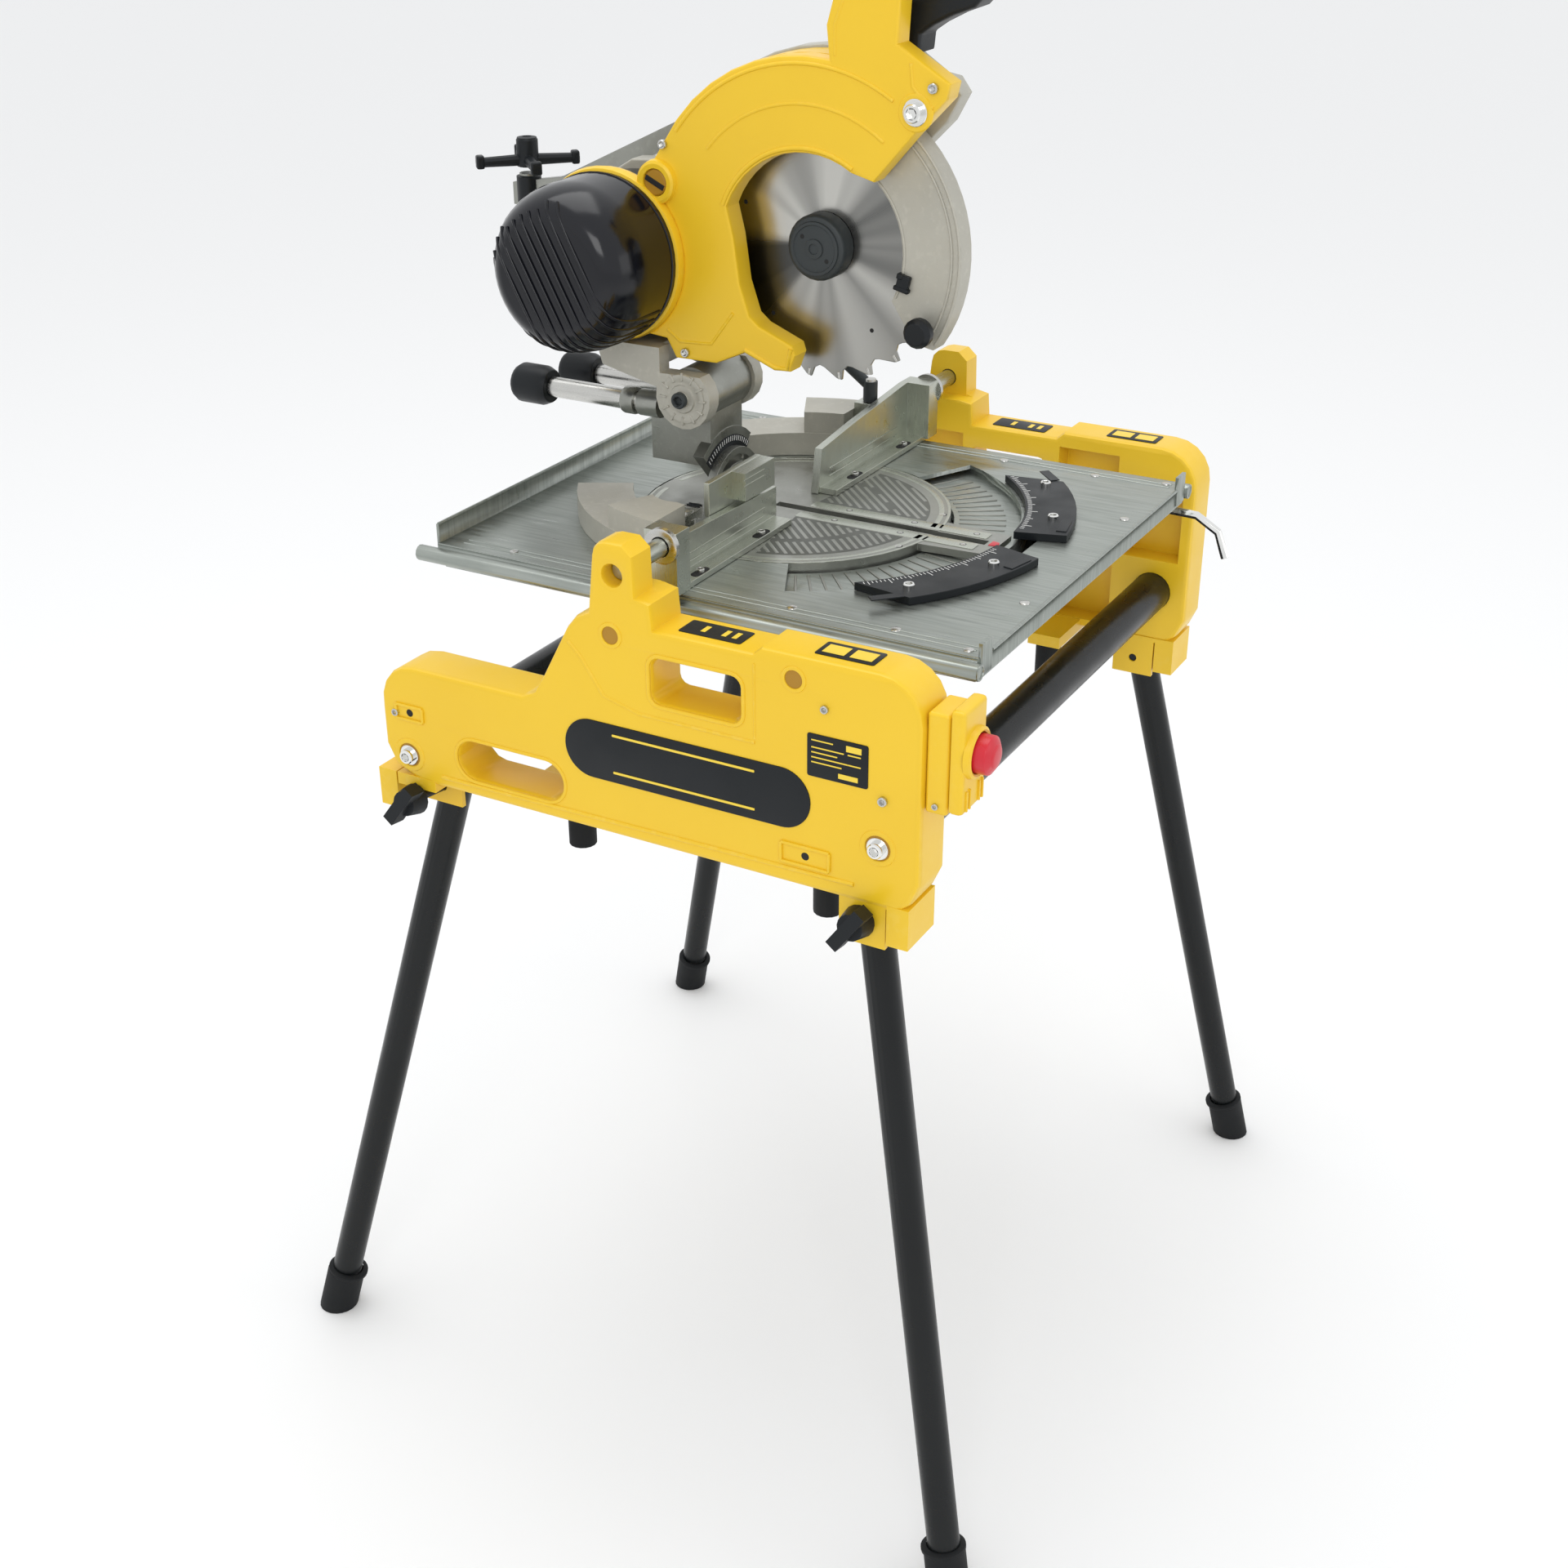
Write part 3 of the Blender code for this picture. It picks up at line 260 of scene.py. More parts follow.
# Cast aluminium darkened as painted shade, for the floor between the turntable's ribs; its higher roughness
# is the real dull finish.
DULL_CAST_PAINTED_SHADE = cast_metal("shaded_aluminium", (0.15, 0.155, 0.14), 0.45, 0.8)
CASTING = cast_metal("painted_casting", (0.46, 0.445, 0.385), 0.42, 0.30)
STEEL = brushed("plated_steel", (0.58, 0.575, 0.55), 0.24, (6, 1, 6), streak=0.15)
CHROME = Paint("bright_plating", (0.80, 0.80, 0.78), 0.10, 1.0)
CHROME.rough(CHROME.noise(90, 4), 0.07, 0.16).bump(CHROME.noise(300, 2), 0.00002, 0.4)
BLADE_STEEL = blade_steel()
WHITE = moulded("white_marking", (0.80, 0.80, 0.78), 0.45, (0.62, 0.62, 0.60))
YELLOW_MARK = moulded("yellow_marking", (0.86, 0.62, 0.05), 0.40, (0.76, 0.50, 0.04))
# Yellow darkened as painted shade, for the inside of moulded bores and the sunken brush cap.
SHADE_PAINTED_YELLOW = moulded("shaded_yellow", (0.40, 0.20, 0.008), 0.55, (0.28, 0.14, 0.006))
# Near-black painted shade, drawn in holes, slots and the gaps round sunken screws where there is only shade.
PAINTED_SHADE_BLACK = moulded("painted_shade_recess", (0.006, 0.006, 0.006), 0.7, (0.012, 0.012, 0.012))


# Shape helpers

def finish_piece(obj, paint, body, smooth=35):
    """Shades a piece, gives it its material and lets it ride on its CAD body."""
    obj.data.materials.clear()
    obj.data.materials.append(paint.made)
    if obj.type == "MESH":
        obj.data.shade_smooth()
        obj.data.set_sharp_from_angle(angle=math.radians(smooth))
    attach(obj, body)
    return obj


def new_object(name, data):
    made = bpy.data.objects.new(name, data)
    bpy.context.scene.collection.objects.link(made)
    return made


def from_bmesh(name, shape, paint, body, smooth=35):
    mesh = bpy.data.meshes.new(name)
    bmesh.ops.recalc_face_normals(shape, faces=shape.faces)
    shape.to_mesh(mesh)
    shape.free()
    return finish_piece(new_object(name, mesh), paint, body, smooth)


def basis(start, along):
    """A matrix at start whose Z runs along the direction."""
    return Matrix.Translation(start) @ Vector(along).to_track_quat("Z", "Y").to_matrix().to_4x4()


def revolve_into(shape, place, profile, sides=28):
    """Adds a turned form to a bmesh: profile is (radius, height) from one end of the axis to the other."""
    rows = []
    for radius, height in profile:
        if radius < 1e-6:
            rows.append([shape.verts.new(place @ Vector((0, 0, height)))])
            continue
        rows.append([shape.verts.new(place @ Vector((radius * math.cos(a), radius * math.sin(a), height)))
                     for a in (2 * math.pi * k / sides for k in range(sides))])
    for low, high in zip(rows, rows[1:]):
        for k in range(sides):
            a, b = low[k % len(low)], low[(k + 1) % len(low)]
            c, d = high[(k + 1) % len(high)], high[k % len(high)]
            corners = []
            for vertex in (a, b, c, d):
                if vertex not in corners:
                    corners.append(vertex)
            if len(corners) > 2:
                shape.faces.new(corners)


def turned(name, start, along, profile, paint, body, sides=28):
    shape = bmesh.new()
    revolve_into(shape, basis(start, along), profile, sides)
    return from_bmesh(name, shape, paint, body)


def box_into(shape, place, size):
    """Adds a box centred on the matrix to a bmesh."""
    bmesh.ops.create_cube(shape, size=1, matrix=place @ Matrix.Diagonal((*size, 1)))


def soften(obj, width, segments=2, angle=30):
    bevel = obj.modifiers.new("rounding", "BEVEL")
    bevel.width = width
    bevel.segments = segments
    bevel.limit_method = "ANGLE"
    bevel.angle_limit = math.radians(angle)
    bevel.harden_normals = False
    return obj


def blocks(name, places, paint, body, round_by=0.0006):
    """Several small boxes as one piece, softened: places holds (matrix, size)."""
    shape = bmesh.new()
    for place, size in places:
        box_into(shape, place, size)
    return soften(from_bmesh(name, shape, paint, body), round_by)


def arc(middle, radius, start, end, count):
    angles = [math.radians(start + (end - start) * k / (count - 1)) for k in range(count)]
    return [(middle[0] + radius * math.cos(a), middle[1] + radius * math.sin(a)) for a in angles]


def pill(low, high, radius, count=7):
    """A rectangle with round corners."""
    corners = ((high[0] - radius, high[1] - radius, 0), (low[0] + radius, high[1] - radius, 90),
               (low[0] + radius, low[1] + radius, 180), (high[0] - radius, low[1] + radius, 270))
    return [p for a, b, turn in corners for p in arc((a, b), radius, turn, turn + 90, count)]


FRAMES = {
    "X": ((0, 0, 1), (1, 0, 0), (0, 1, 0)),
    "Y": ((1, 0, 0), (0, 0, -1), (0, 1, 0)),
    "Z": ((1, 0, 0), (0, 1, 0), (0, 0, 1)),
}


def plate(name, axis, level, thick, outlines, paint, body, edge=0.0003):
    """Flat outlines given a thickness and a soft edge, centred on level along the axis."""
    curve = bpy.data.curves.new(name, "CURVE")
    curve.dimensions = "2D"
    curve.fill_mode = "BOTH"
    curve.extrude = thick / 2 - edge
    curve.bevel_depth = edge
    curve.bevel_resolution = 2
    curve.offset = -edge
    for outline in outlines:
        spline = curve.splines.new("POLY")
        spline.points.add(len(outline) - 1)
        for point, (across, up) in zip(spline.points, outline):
            point.co = (across, up, 0, 1)
        spline.use_cyclic_u = True
    holder = new_object(name, curve)
    mesh = bpy.data.meshes.new_from_object(holder.evaluated_get(bpy.context.evaluated_depsgraph_get()))
    bpy.data.objects.remove(holder)
    turn = Matrix(FRAMES[axis]).to_4x4()
    shift = Vector() if axis == "Y" else Y * SAW_Y
    mesh.transform(Matrix.Translation(UP_AXIS[axis] * level + shift) @ turn)
    shape = bmesh.new()
    shape.from_mesh(mesh)
    bmesh.ops.remove_doubles(shape, verts=shape.verts, dist=1e-6)
    return from_bmesh(name, shape, paint, body, 40)


def tube(name, points, radius, paint, body, closed=False, smooth=False):
    """A round wire or bead along points."""
    curve = bpy.data.curves.new(name, "CURVE")
    curve.dimensions = "3D"
    curve.bevel_depth = radius
    curve.bevel_resolution = 3
    curve.use_fill_caps = not closed
    spline = curve.splines.new("NURBS" if smooth else "POLY")
    spline.points.add(len(points) - 1)
    for point, place in zip(spline.points, points):
        point.co = (*place, 1)
    spline.use_cyclic_u = closed
    if smooth:
        spline.use_endpoint_u = True
        spline.order_u = 4
        curve.resolution_u = 6
    return finish_piece(new_object(name, curve), paint, body)


def cap_screw(name, start, along, radius, paint, body, washer=None):
    """A socket-head screw with a hex recess, on a washer if asked."""
    shape = bmesh.new()
    place = basis(start, along)
    if washer:
        ring = ((0, 0), (washer, 0), (washer, 0.0012), (washer - 0.0005, 0.0016), (0, 0.0016))
        revolve_into(shape, place, ring, 28)
    low = 0.0014 if washer else 0.0
    head = radius * 0.85
    revolve_into(shape, place, ((0, low), (radius, low), (radius, low + head * 0.8),
                                (radius * 0.88, low + head), (radius * 0.62, low + head)), 28)
    socket = [(radius * 0.62, low + head), (radius * 0.55, low + head * 0.95),
              (radius * 0.55, low + head * 0.45), (0, low + head * 0.4)]
    revolve_into(shape, place, socket, 6)
    return from_bmesh(name, shape, paint, body, 30)


def dish(name, start, along, radius, paint, body, plug=None):
    """A raised ring round a shaded middle, such as a moulded bore."""
    ring = ((radius * 0.74, -0.0006), (radius * 0.80, 0.0009), (radius * 0.92, 0.0013),
            (radius * 1.08, 0.0009), (radius * 1.16, -0.0006))
    turned(name + "_ring", start, along, ring, paint, body)
    # The middle is painted shade: a darkened yellow standing for the shade inside the bore.
    middle = ((radius * 0.82, -0.0002), (radius * 0.70, 0.0005), (radius * 0.3, 0.00035), (0, 0.0003))
    turned(name + "_plug", start, along, middle, plug or SHADE_PAINTED_YELLOW, body)


def faced(place, angle, axis="Z"):
    """A matrix at a point, turned about an axis by an angle in radians."""
    return Matrix.Translation(place) @ Matrix.Rotation(angle, 4, axis)


def polar(angle, radius, plane="XY"):
    """An offset at an angle in radians, in the table's plane or in the blade's."""
    across, up = radius * math.cos(angle), radius * math.sin(angle)
    return Vector((across, up, 0)) if plane == "XY" else Vector((0, across, up))


# The CAD nodes

NODE_PAINT = {
    YELLOW: "left_housing right_housing switch_box stop_flap blade_cover",
    BLACK_TUBE: "front_stretcher rear_stretcher leg_front_left leg_front_right leg_rear_left leg_rear_right",
    RUBBER: "bench_foot_front_left bench_foot_front_right bench_foot_rear_left bench_foot_rear_right "
            "drive_belt leg_foot_front_left leg_foot_front_right leg_foot_rear_left leg_foot_rear_right",
    BLACK: "cable_hook mitre_scale_left mitre_scale_right rod_cap_left rod_cap_right handle_grip belt_cover "
           "adjuster_knob guard_knob leg_knob_front_left leg_knob_front_right leg_knob_rear_left "
           "leg_knob_rear_right",
    GLOSS: "motor_housing",
    GREY: "fence_lever arbor_cap",
    RED: "stop_button trigger",
    GALVANISED: "table_plate bench_plate",
    CAST: "turntable tilt_seat tilt_arm adjuster_bracket",
    MACHINED: "fence_left fence_right fence_slider",
    CASTING: "wing_left wing_right head_casting lower_guard",
    STEEL: "mitre_knob rear_rod_left rear_rod_right spindle motor_shaft",
    CHROME: "table_latch",
    BLADE_STEEL: "blade",
}
USUAL_ROUNDING = 0.0005
ROUNDING = {
    0.0004: "lower_guard",
    0.0006: "table_plate bench_plate",
    0.0007: "fence_left fence_right fence_slider",
    0.0008: "tilt_seat",
    0.0010: "head_casting stop_button mitre_knob fence_lever motor_housing arbor_cap",
    0.0012: "switch_box blade_cover",
    0.0015: "stop_flap adjuster_knob trigger",
    0.0016: "handle_grip",
    0.0018: "mitre_scale_left mitre_scale_right",
    0.0020: "adjuster_bracket bench_foot_front_left bench_foot_front_right bench_foot_rear_left "
            "bench_foot_rear_right",
    0.0022: "left_housing right_housing leg_foot_front_left leg_foot_front_right leg_foot_rear_left "
            "leg_foot_rear_right",
    0.0025: "tilt_arm",
    0.0028: "leg_knob_front_left leg_knob_front_right leg_knob_rear_left leg_knob_rear_right",
    0.0030: "belt_cover",
    0.0035: "wing_left wing_right",
}
EDGE = {name: width for width, names in ROUNDING.items() for name in names.split()}
SPLIT_CORNERS = 0.000004


def dress_nodes():
    """Gives each CAD node its material, then joins its split corners, rounds its edges and shades it."""
    for paint, names in NODE_PAINT.items():
        for name in names.split():
            node = NODES[name]
            node.data.materials.clear()
            node.data.materials.append(paint.made)
            node.data.shade_smooth()
            weld = node.modifiers.new("joined_corners", "WELD")
            weld.merge_threshold = SPLIT_CORNERS
            soften(node, EDGE.get(name, USUAL_ROUNDING), 2, 34)
            shading = node.modifiers.new("even_shading", "WEIGHTED_NORMAL")
            shading.mode = "FACE_AREA"
            shading.weight = 70


# The side housings

def housing_details(side, sign):
    """Panels, bolts, raised frames and bores on a housing's outer face."""
    body, face = "stand", sign * SIDE_X
    out = X * sign

    def spot(y, z, lift=0.0):
        return at(face + sign * lift, y, z)

    panel = pill((-0.173, 0.728), (0.072, 0.784), 0.0278, 12)
    plate(f"{side}_panel", "X", face + sign * 0.0002, 0.0016, [panel], BLACK, body, 0.0005)
    for number, z in enumerate((0.738, 0.774)):
        plate(f"{side}_panel_line_{number}", "X", face + sign * 0.0011, 0.0006,
              [pill((-0.120, z - 0.0011), (0.022, z + 0.0011), 0.0005, 3)], YELLOW_MARK, body, 0.0001)
    for name, y, z in (("front", -0.236, 0.731), ("rear", 0.250, 0.7005)):
        dish(f"{side}_{name}_seat", spot(y, z), out, 0.0150, YELLOW, body)
        cap_screw(f"{side}_{name}_bolt", spot(y, z, 0.0004), out, 0.0070, CHROME, body, 0.0100)
    for name, y, z in (("a", 0.020, 0.868), ("b", -0.157, 0.866)):
        dish(f"{side}_bore_{name}", spot(y, z), out, 0.0105, YELLOW, body)
    for name, y, z, radius in (("c", -0.186, 0.846, 0.0036), ("d", -0.240, 0.776, 0.0042),
                               ("e", 0.262, 0.742, 0.0036)):
        cap_screw(f"{side}_screw_{name}", spot(y, z), out, radius, STEEL, body)
    frames = []
    for y, z, wide, high in ((-0.168, 0.705, 0.046, 0.018), (0.246, 0.744, 0.030, 0.014)):
        middle = spot(y, z, 0.0006)
        level, upright = (0.003, wide, 0.0028), (0.003, 0.0028, high)
        for shift_y, shift_z, size in ((0, high / 2, level), (0, -high / 2, level),
                                       (wide / 2, 0, upright), (-wide / 2, 0, upright)):
            frames.append((Matrix.Translation(middle + Vector((0, shift_y, shift_z))), size))
    blocks(f"{side}_raised_frames", frames, YELLOW, body, 0.0008)
    # The holes in the raised frames are discs of painted shade.
    for name, y, z in (("front", -0.168, 0.705), ("rear", 0.246, 0.744)):
        hole = ((0.0042, -0.0004), (0.0034, 0.0003), (0, 0.0002))
        turned(f"{side}_frame_hole_{name}", spot(y, z), out, hole, PAINTED_SHADE_BLACK, body, 16)
    lip = pill((-0.1095, 0.8115), (-0.0165, 0.8585), 0.0115, 6)
    tube(f"{side}_carry_lip", [spot(y, z, -0.0005) for y, z in lip], 0.0021, YELLOW, body, closed=True)
    slot = pill((0.075, 0.690), (0.196, 0.733), 0.0210, 9)
    tube(f"{side}_slot_lip", [spot(y, z, -0.0005) for y, z in slot], 0.0019, YELLOW, body, closed=True)
    ridge = [(-0.214, 0.6905), (0.214, 0.6860)]
    tube(f"{side}_foot_ridge", [spot(y, z, -0.0004) for y, z in ridge], 0.0022, YELLOW, body)
    crest = [(-0.120, 0.8005), (-0.006, 0.8005), (0.030, 0.8100), (0.052, 0.8420), (0.064, 0.8540)]
    tube(f"{side}_body_crease", [spot(y, z, -0.0010) for y, z in crest], 0.0021, YELLOW, body)
    seam = [(-0.120, 0.872), (-0.120, 0.804)]
    tube(f"{side}_seam", [spot(y, z, -0.0004) for y, z in seam], 0.0012, YELLOW, body)
    label_low, label_high = sorted((sign * 0.307, sign * 0.333))
    label_middle = sign * 0.320
    for name, y, z, wide in (("front", -0.196, 0.887, 0.054), ("middle", -0.070, 0.880, 0.060)):
        label = pill((label_low, y - wide / 2), (label_high, y + wide / 2), 0.002, 4)
        plate(f"{side}_label_{name}", "Z", z + 0.0003, 0.0008, [label], BLACK, body, 0.0001)
    marks = [(Matrix.Translation(at(label_middle, -0.070 + 0.010 * k, 0.8809)), (0.012, 0.0045, 0.0003))
             for k in (-2, -1, 1)]
    marks += [(Matrix.Translation(at(label_middle, -0.196 + shift, 0.8879)), (0.016, 0.020, 0.0003))
              for shift in (-0.0125, 0.0125)]
    blocks(f"{side}_label_marks", marks, YELLOW_MARK, body, 0.0001)
    if sign < 0:
        rating_plate(face)


def rating_plate(face):
    """A small dark data plate with plain rules in place of words."""
    outline = pill((-0.226, 0.783), (-0.170, 0.822), 0.002, 4)
    plate("data_plate", "X", face - 0.0003, 0.0010, [outline], BLACK, "stand", 0.0002)
    rules = []

    def rule(y, z, wide, high=0.0012):
        rules.append((Matrix.Translation(at(face - 0.0009, y, z)), (0.0003, wide, high)))

    rows = ((0.8165, 0.020), (0.810, 0.030), (0.8055, 0.024), (0.801, 0.034), (0.7965, 0.028))
    for row, (z, width) in enumerate(rows):
        rule(-0.174 - width / 2, z, width)
        if row % 2:
            rule(-0.2135, z, 0.012)
    rule(-0.213, 0.8155, 0.014, 0.0055)
    rule(-0.208, 0.789, 0.018, 0.0045)
    blocks("data_plate_rules", rules, YELLOW_MARK, "stand", 0.0001)


def switch_details():
    """The stop button's collar and the flap's hinge and lips."""
    low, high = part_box("stop_flap")
    front = low[1]
    x, z = centre("stop_button").x, centre("stop_button").z
    collar = ((0.0178, -0.0010), (0.0178, 0.0040), (0.0195, 0.0052), (0.0218, 0.0036), (0.0228, -0.0010))
    turned("stop_collar", Vector((x, front, z)), -Y, collar, YELLOW, "flap", 36)
    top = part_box("stop_button")[0][1]
    crown = ((0.0108, -0.0002), (0.0095, 0.0009), (0.006, 0.0014), (0, 0.0016))
    turned("stop_button_face", Vector((x, top, z)), -Y, crown, RED, "button", 30)
    ribs = [(Matrix.Translation((x + shift, front - 0.0006, low[2] + 0.012)), (0.0022, 0.0022, 0.018))
            for shift in (-0.015, -0.009, 0.009, 0.015)]
    blocks("flap_ribs", ribs, YELLOW, "flap", 0.0006)
    hinge = [Vector((end, high[1] - 0.0035, high[2] - 0.0030)) for end in (low[0] + 0.004, high[0] - 0.004)]
    tube("flap_hinge", hinge, 0.0030, YELLOW, "flap")
    cap_screw("switch_screw", at(-0.3400, -0.284, 0.780), -X, 0.0028, STEEL, "stand")


# The legs

def leg_details():
    """The raised ring at the top of each rubber foot."""
    for end, forward in (("front", -1), ("rear", 1)):
        for side, sign in SIDES:
            body = f"leg_{end}_{side}"
            low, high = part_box(body)
            foot_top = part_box(f"leg_foot_{end}_{side}")[1][2]
            middle, radius = centre(body), 0.0155
            reach_x, reach_y = (high[0] - low[0]) / 2 - radius, (high[1] - low[1]) / 2 - radius
            reach = Vector((sign * reach_x, forward * reach_y, 0))
            upper = Vector((middle.x, middle.y, high[2])) - reach
            lower = Vector((middle.x, middle.y, low[2])) + reach
            along = (lower - upper).normalized()
            spot = upper + along * ((upper.z - foot_top + 0.0035) / -along.z)
            lip = ((0.0158, -0.0028), (0.0178, -0.0030), (0.0212, -0.0012), (0.0212, 0.0018),
                   (0.0200, 0.0034))
            turned(f"{body}_foot_lip", spot, along, lip, RUBBER, body, 28)


# The table

SHORTEST_RIB = 0.004


def ribbed_field(name, inside, spacing, angle, width, height, level, span, paint, body, step=0.002):
    """Parallel ribs on a flat surface, trimmed to a region: inside(x, y) says whether a point is in it."""
    shape = bmesh.new()
    turn = math.radians(angle)
    along, across = Vector((math.cos(turn), math.sin(turn))), Vector((-math.sin(turn), math.cos(turn)))
    lines, steps = int(span / spacing), int(span / step)
    for line in range(-lines, lines + 1):
        offset = across * (line * spacing)
        run = []
        for k in range(-steps, steps + 2):
            point = offset + along * (k * step)
            if k <= steps and inside(point.x, point.y):
                run.append(k * step)
            elif run:
                rib_into(shape, offset, along, run, width, height, level, turn)
                run = []
    return from_bmesh(name, shape, paint, body, 30)


def rib_into(shape, offset, along, run, width, height, level, turn):
    """One rib with a ridged top."""
    if run[-1] - run[0] < SHORTEST_RIB:
        return
    middle = offset + along * ((run[0] + run[-1]) / 2)
    half, side = (run[-1] - run[0]) / 2, width / 2
    place = faced((TURN.x + middle.x, TURN.y + middle.y, level), turn)

    def ring(long, wide, lift):
        corners = ((-long, -wide), (long, -wide), (long, wide), (-long, wide))
        return [shape.verts.new(place @ Vector((x, y, lift))) for x, y in corners]

    base = ring(half, side, 0)
    top = ring(half - side, side * 0.45, height)
    shape.faces.new(top)
    for k in range(4):
        shape.faces.new((base[k], base[(k + 1) % 4], top[(k + 1) % 4], top[k]))


def flush_screw(name, start, radius, paint, body):
    """A screw head sunk level with its plate, with a ring of painted shade round it and a recess."""
    ring = ((radius * 1.25, -0.0002), (radius * 1.22, 0.00012), (0, 0.00012))
    turned(name + "_ring", start, Z, ring, PAINTED_SHADE_BLACK, body, 24)
    head = ((radius, -0.0002), (radius * 0.96, 0.00024), (radius * 0.42, 0.00024),
            (radius * 0.36, 0.00016), (0, 0.00016))
    turned(name, start, Z, head, paint, body, 24)


def turntable_details():
    """The ribbed sectors, rims and slot plates of the turntable, all less than 0.4 mm proud of it."""
    level = TABLE_Z - 0.0001

    def sector(sign):
        def inside(x, y):
            distance = math.hypot(x, y)
            on_groove = abs(distance - 0.092) < 0.002
            return distance < 0.128 and x * sign > 0.026 and y < -0.014 and not on_groove
        return inside

    for side, sign in SIDES:
        start, end = (95, 265) if sign < 0 else (-85, 85)
        turn = (0, TURN.y - SAW_Y)
        field = [(sign * 0.024, turn[1] - 0.012)]
        field += [(sign * abs(x), y) for x, y in arc(turn, 0.1300, -12, -79, 18)]
        # The field under the ribs is painted shade: a darker cast colour standing for the shade between the
        # ribs.
        plate(f"turntable_field_{side}", "Z", TABLE_Z - 0.00005, 0.0003, [field], DULL_CAST_PAINTED_SHADE, "turntable",
              0.00005)
        ribbed_field(f"turntable_ribs_{side}", sector(sign), 0.0074, 45, 0.0050, 0.00034, level, 0.15,
                     CAST, "turntable")
        for name, outer, inner in (("rim", 0.1435, 0.1385), ("edge", 0.1498, 0.1472)):
            band = arc(turn, outer, start, end, 46) + arc(turn, inner, end, start, 46)
            plate(f"turntable_{name}_{side}", "Z", TABLE_Z - 0.0001, 0.0006, [band], MACHINED, "turntable",
                  0.0001)
        x = sign * 0.0155
        strip = pill((x - 0.0075, -0.168), (x + 0.0075, 0.020), 0.002, 4)
        plate(f"kerf_plate_{side}", "Z", TABLE_Z - 0.0004, 0.0012, [strip], MACHINED, "turntable", 0.0002)
        for number, y in enumerate((-0.155, -0.090, -0.020)):
            flush_screw(f"kerf_screw_{side}_{number}", at(x, y, TABLE_Z + 0.0001), 0.0026, STEEL, "turntable")
        flush_screw(f"turntable_screw_{side}", at(sign * 0.048, -0.104, TABLE_Z), 0.0034, STEEL, "turntable")
    pointer = [(-0.006, -0.176), (0.006, -0.176), (0.0045, -0.183), (0.0, -0.1845), (-0.0045, -0.183)]
    plate("arm_pointer", "Z", TABLE_Z - 0.0006, 0.0014, [pointer], RED, "turntable", 0.0002)


def table_details():
    """Creases, rivets, the ribbed ring round the arm, rail-end plugs and the fence's fastenings."""
    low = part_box("table_plate")[0]
    half = 0.2465
    floor = TABLE_Z - 0.0091
    inner, outer = 0.1545, 0.2155
    ribs = bmesh.new()
    for k in range(-15, 16):
        angle = math.radians(-90 + k * 4.1)
        middle = Vector((TURN.x, TURN.y, floor + 0.00025)) + polar(angle, (inner + outer) / 2 - 0.004)
        place = faced(middle, angle)
        box_into(ribs, place, (outer - inner - 0.016, 0.0024, 0.0013))
    soften(from_bmesh("fan_ribs", ribs, CAST, "table"), 0.0003, 1)
    plug = ((0.0073, 0), (0.0073, 0.0006), (0.0055, 0.0012), (0.0050, 0.0002), (0, 0.0002))
    rivet = ((0.0048, -0.0002), (0.0044, 0.0008), (0.0024, 0.0014), (0, 0.0015))
    screw = ((0.0042, -0.0002), (0.0040, 0.0010), (0.0014, 0.0012), (0.0012, 0.0004), (0, 0.0004))
    rivets = ((0.226, -0.190), (0.226, -0.090), (0.236, -0.262), (0.120, -0.262))
    for side, sign in SIDES:
        for number, inset in enumerate((0.012, 0.020)):
            x = sign * (half - inset)
            crease = [Vector((x, y, TABLE_Z - 0.0004)) for y in (low[1] + 0.012, SAW_Y + 0.255)]
            tube(f"crease_{side}_{number}", crease, 0.0011, GALVANISED, "table")
        end = Vector((sign * (half + 0.0065), low[1] - 0.0002, TABLE_Z - 0.010))
        turned(f"rail_end_{side}", end, -Y, plug, GALVANISED, "table", 20)
        for number, (x, y) in enumerate(rivets):
            turned(f"rivet_{side}_{number}", at(sign * x, y, TABLE_Z), Z, rivet, STEEL, "table", 16)
        turned(f"level_screw_{side}", at(sign * 0.232, 0.200, TABLE_Z), Z, screw, STEEL, "table", 16)
    lip = [Vector((x, low[1] + 0.0030, TABLE_Z - 0.0010)) for x in (-half + 0.024, half - 0.024)]
    tube("front_lip", lip, 0.0016, GALVANISED, "table")
    bead = [at(x, 0.2764, TABLE_Z + 0.0176) for x in (-half + 0.003, half - 0.003)]
    tube("rear_rim_bead", bead, 0.0018, GALVANISED, "table")
    scale_details()
    fence_details()


def scale_details():
    """Tick marks and screws on the two black mitre scales."""
    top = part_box("mitre_scale_left")[1][2]
    tick_start = 0.2235
    for side, sign in SIDES:
        ticks = []
        for degree in range(8, 47):
            length = 0.0095 if degree % 10 == 0 else 0.0070 if degree % 5 == 0 else 0.0042
            angle = math.radians(-90 + sign * degree)
            middle = Vector((TURN.x, TURN.y, top + 0.0001)) + polar(angle, tick_start + length / 2)
            ticks.append((faced(middle, angle), (length, 0.00075, 0.0003)))
        blocks(f"scale_ticks_{side}", ticks, WHITE, "table", 0.0001)
        for number, degree in enumerate((16, 38)):
            angle = math.radians(-90 + sign * degree)
            spot = Vector((TURN.x, TURN.y, top)) + polar(angle, 0.249)
            cap_screw(f"scale_screw_{side}_{number}", spot, Z, 0.0052, CHROME, "table")
        bosses = []
        for degree in (12, 44):
            angle = math.radians(-90 + sign * degree)
            middle = Vector((TURN.x, TURN.y, top + 0.0003)) + polar(angle, 0.262)
            bosses.append((faced(middle, angle), (0.010, 0.030, 0.0012)))
        blocks(f"scale_pads_{side}", bosses, BLACK, "table", 0.0005)


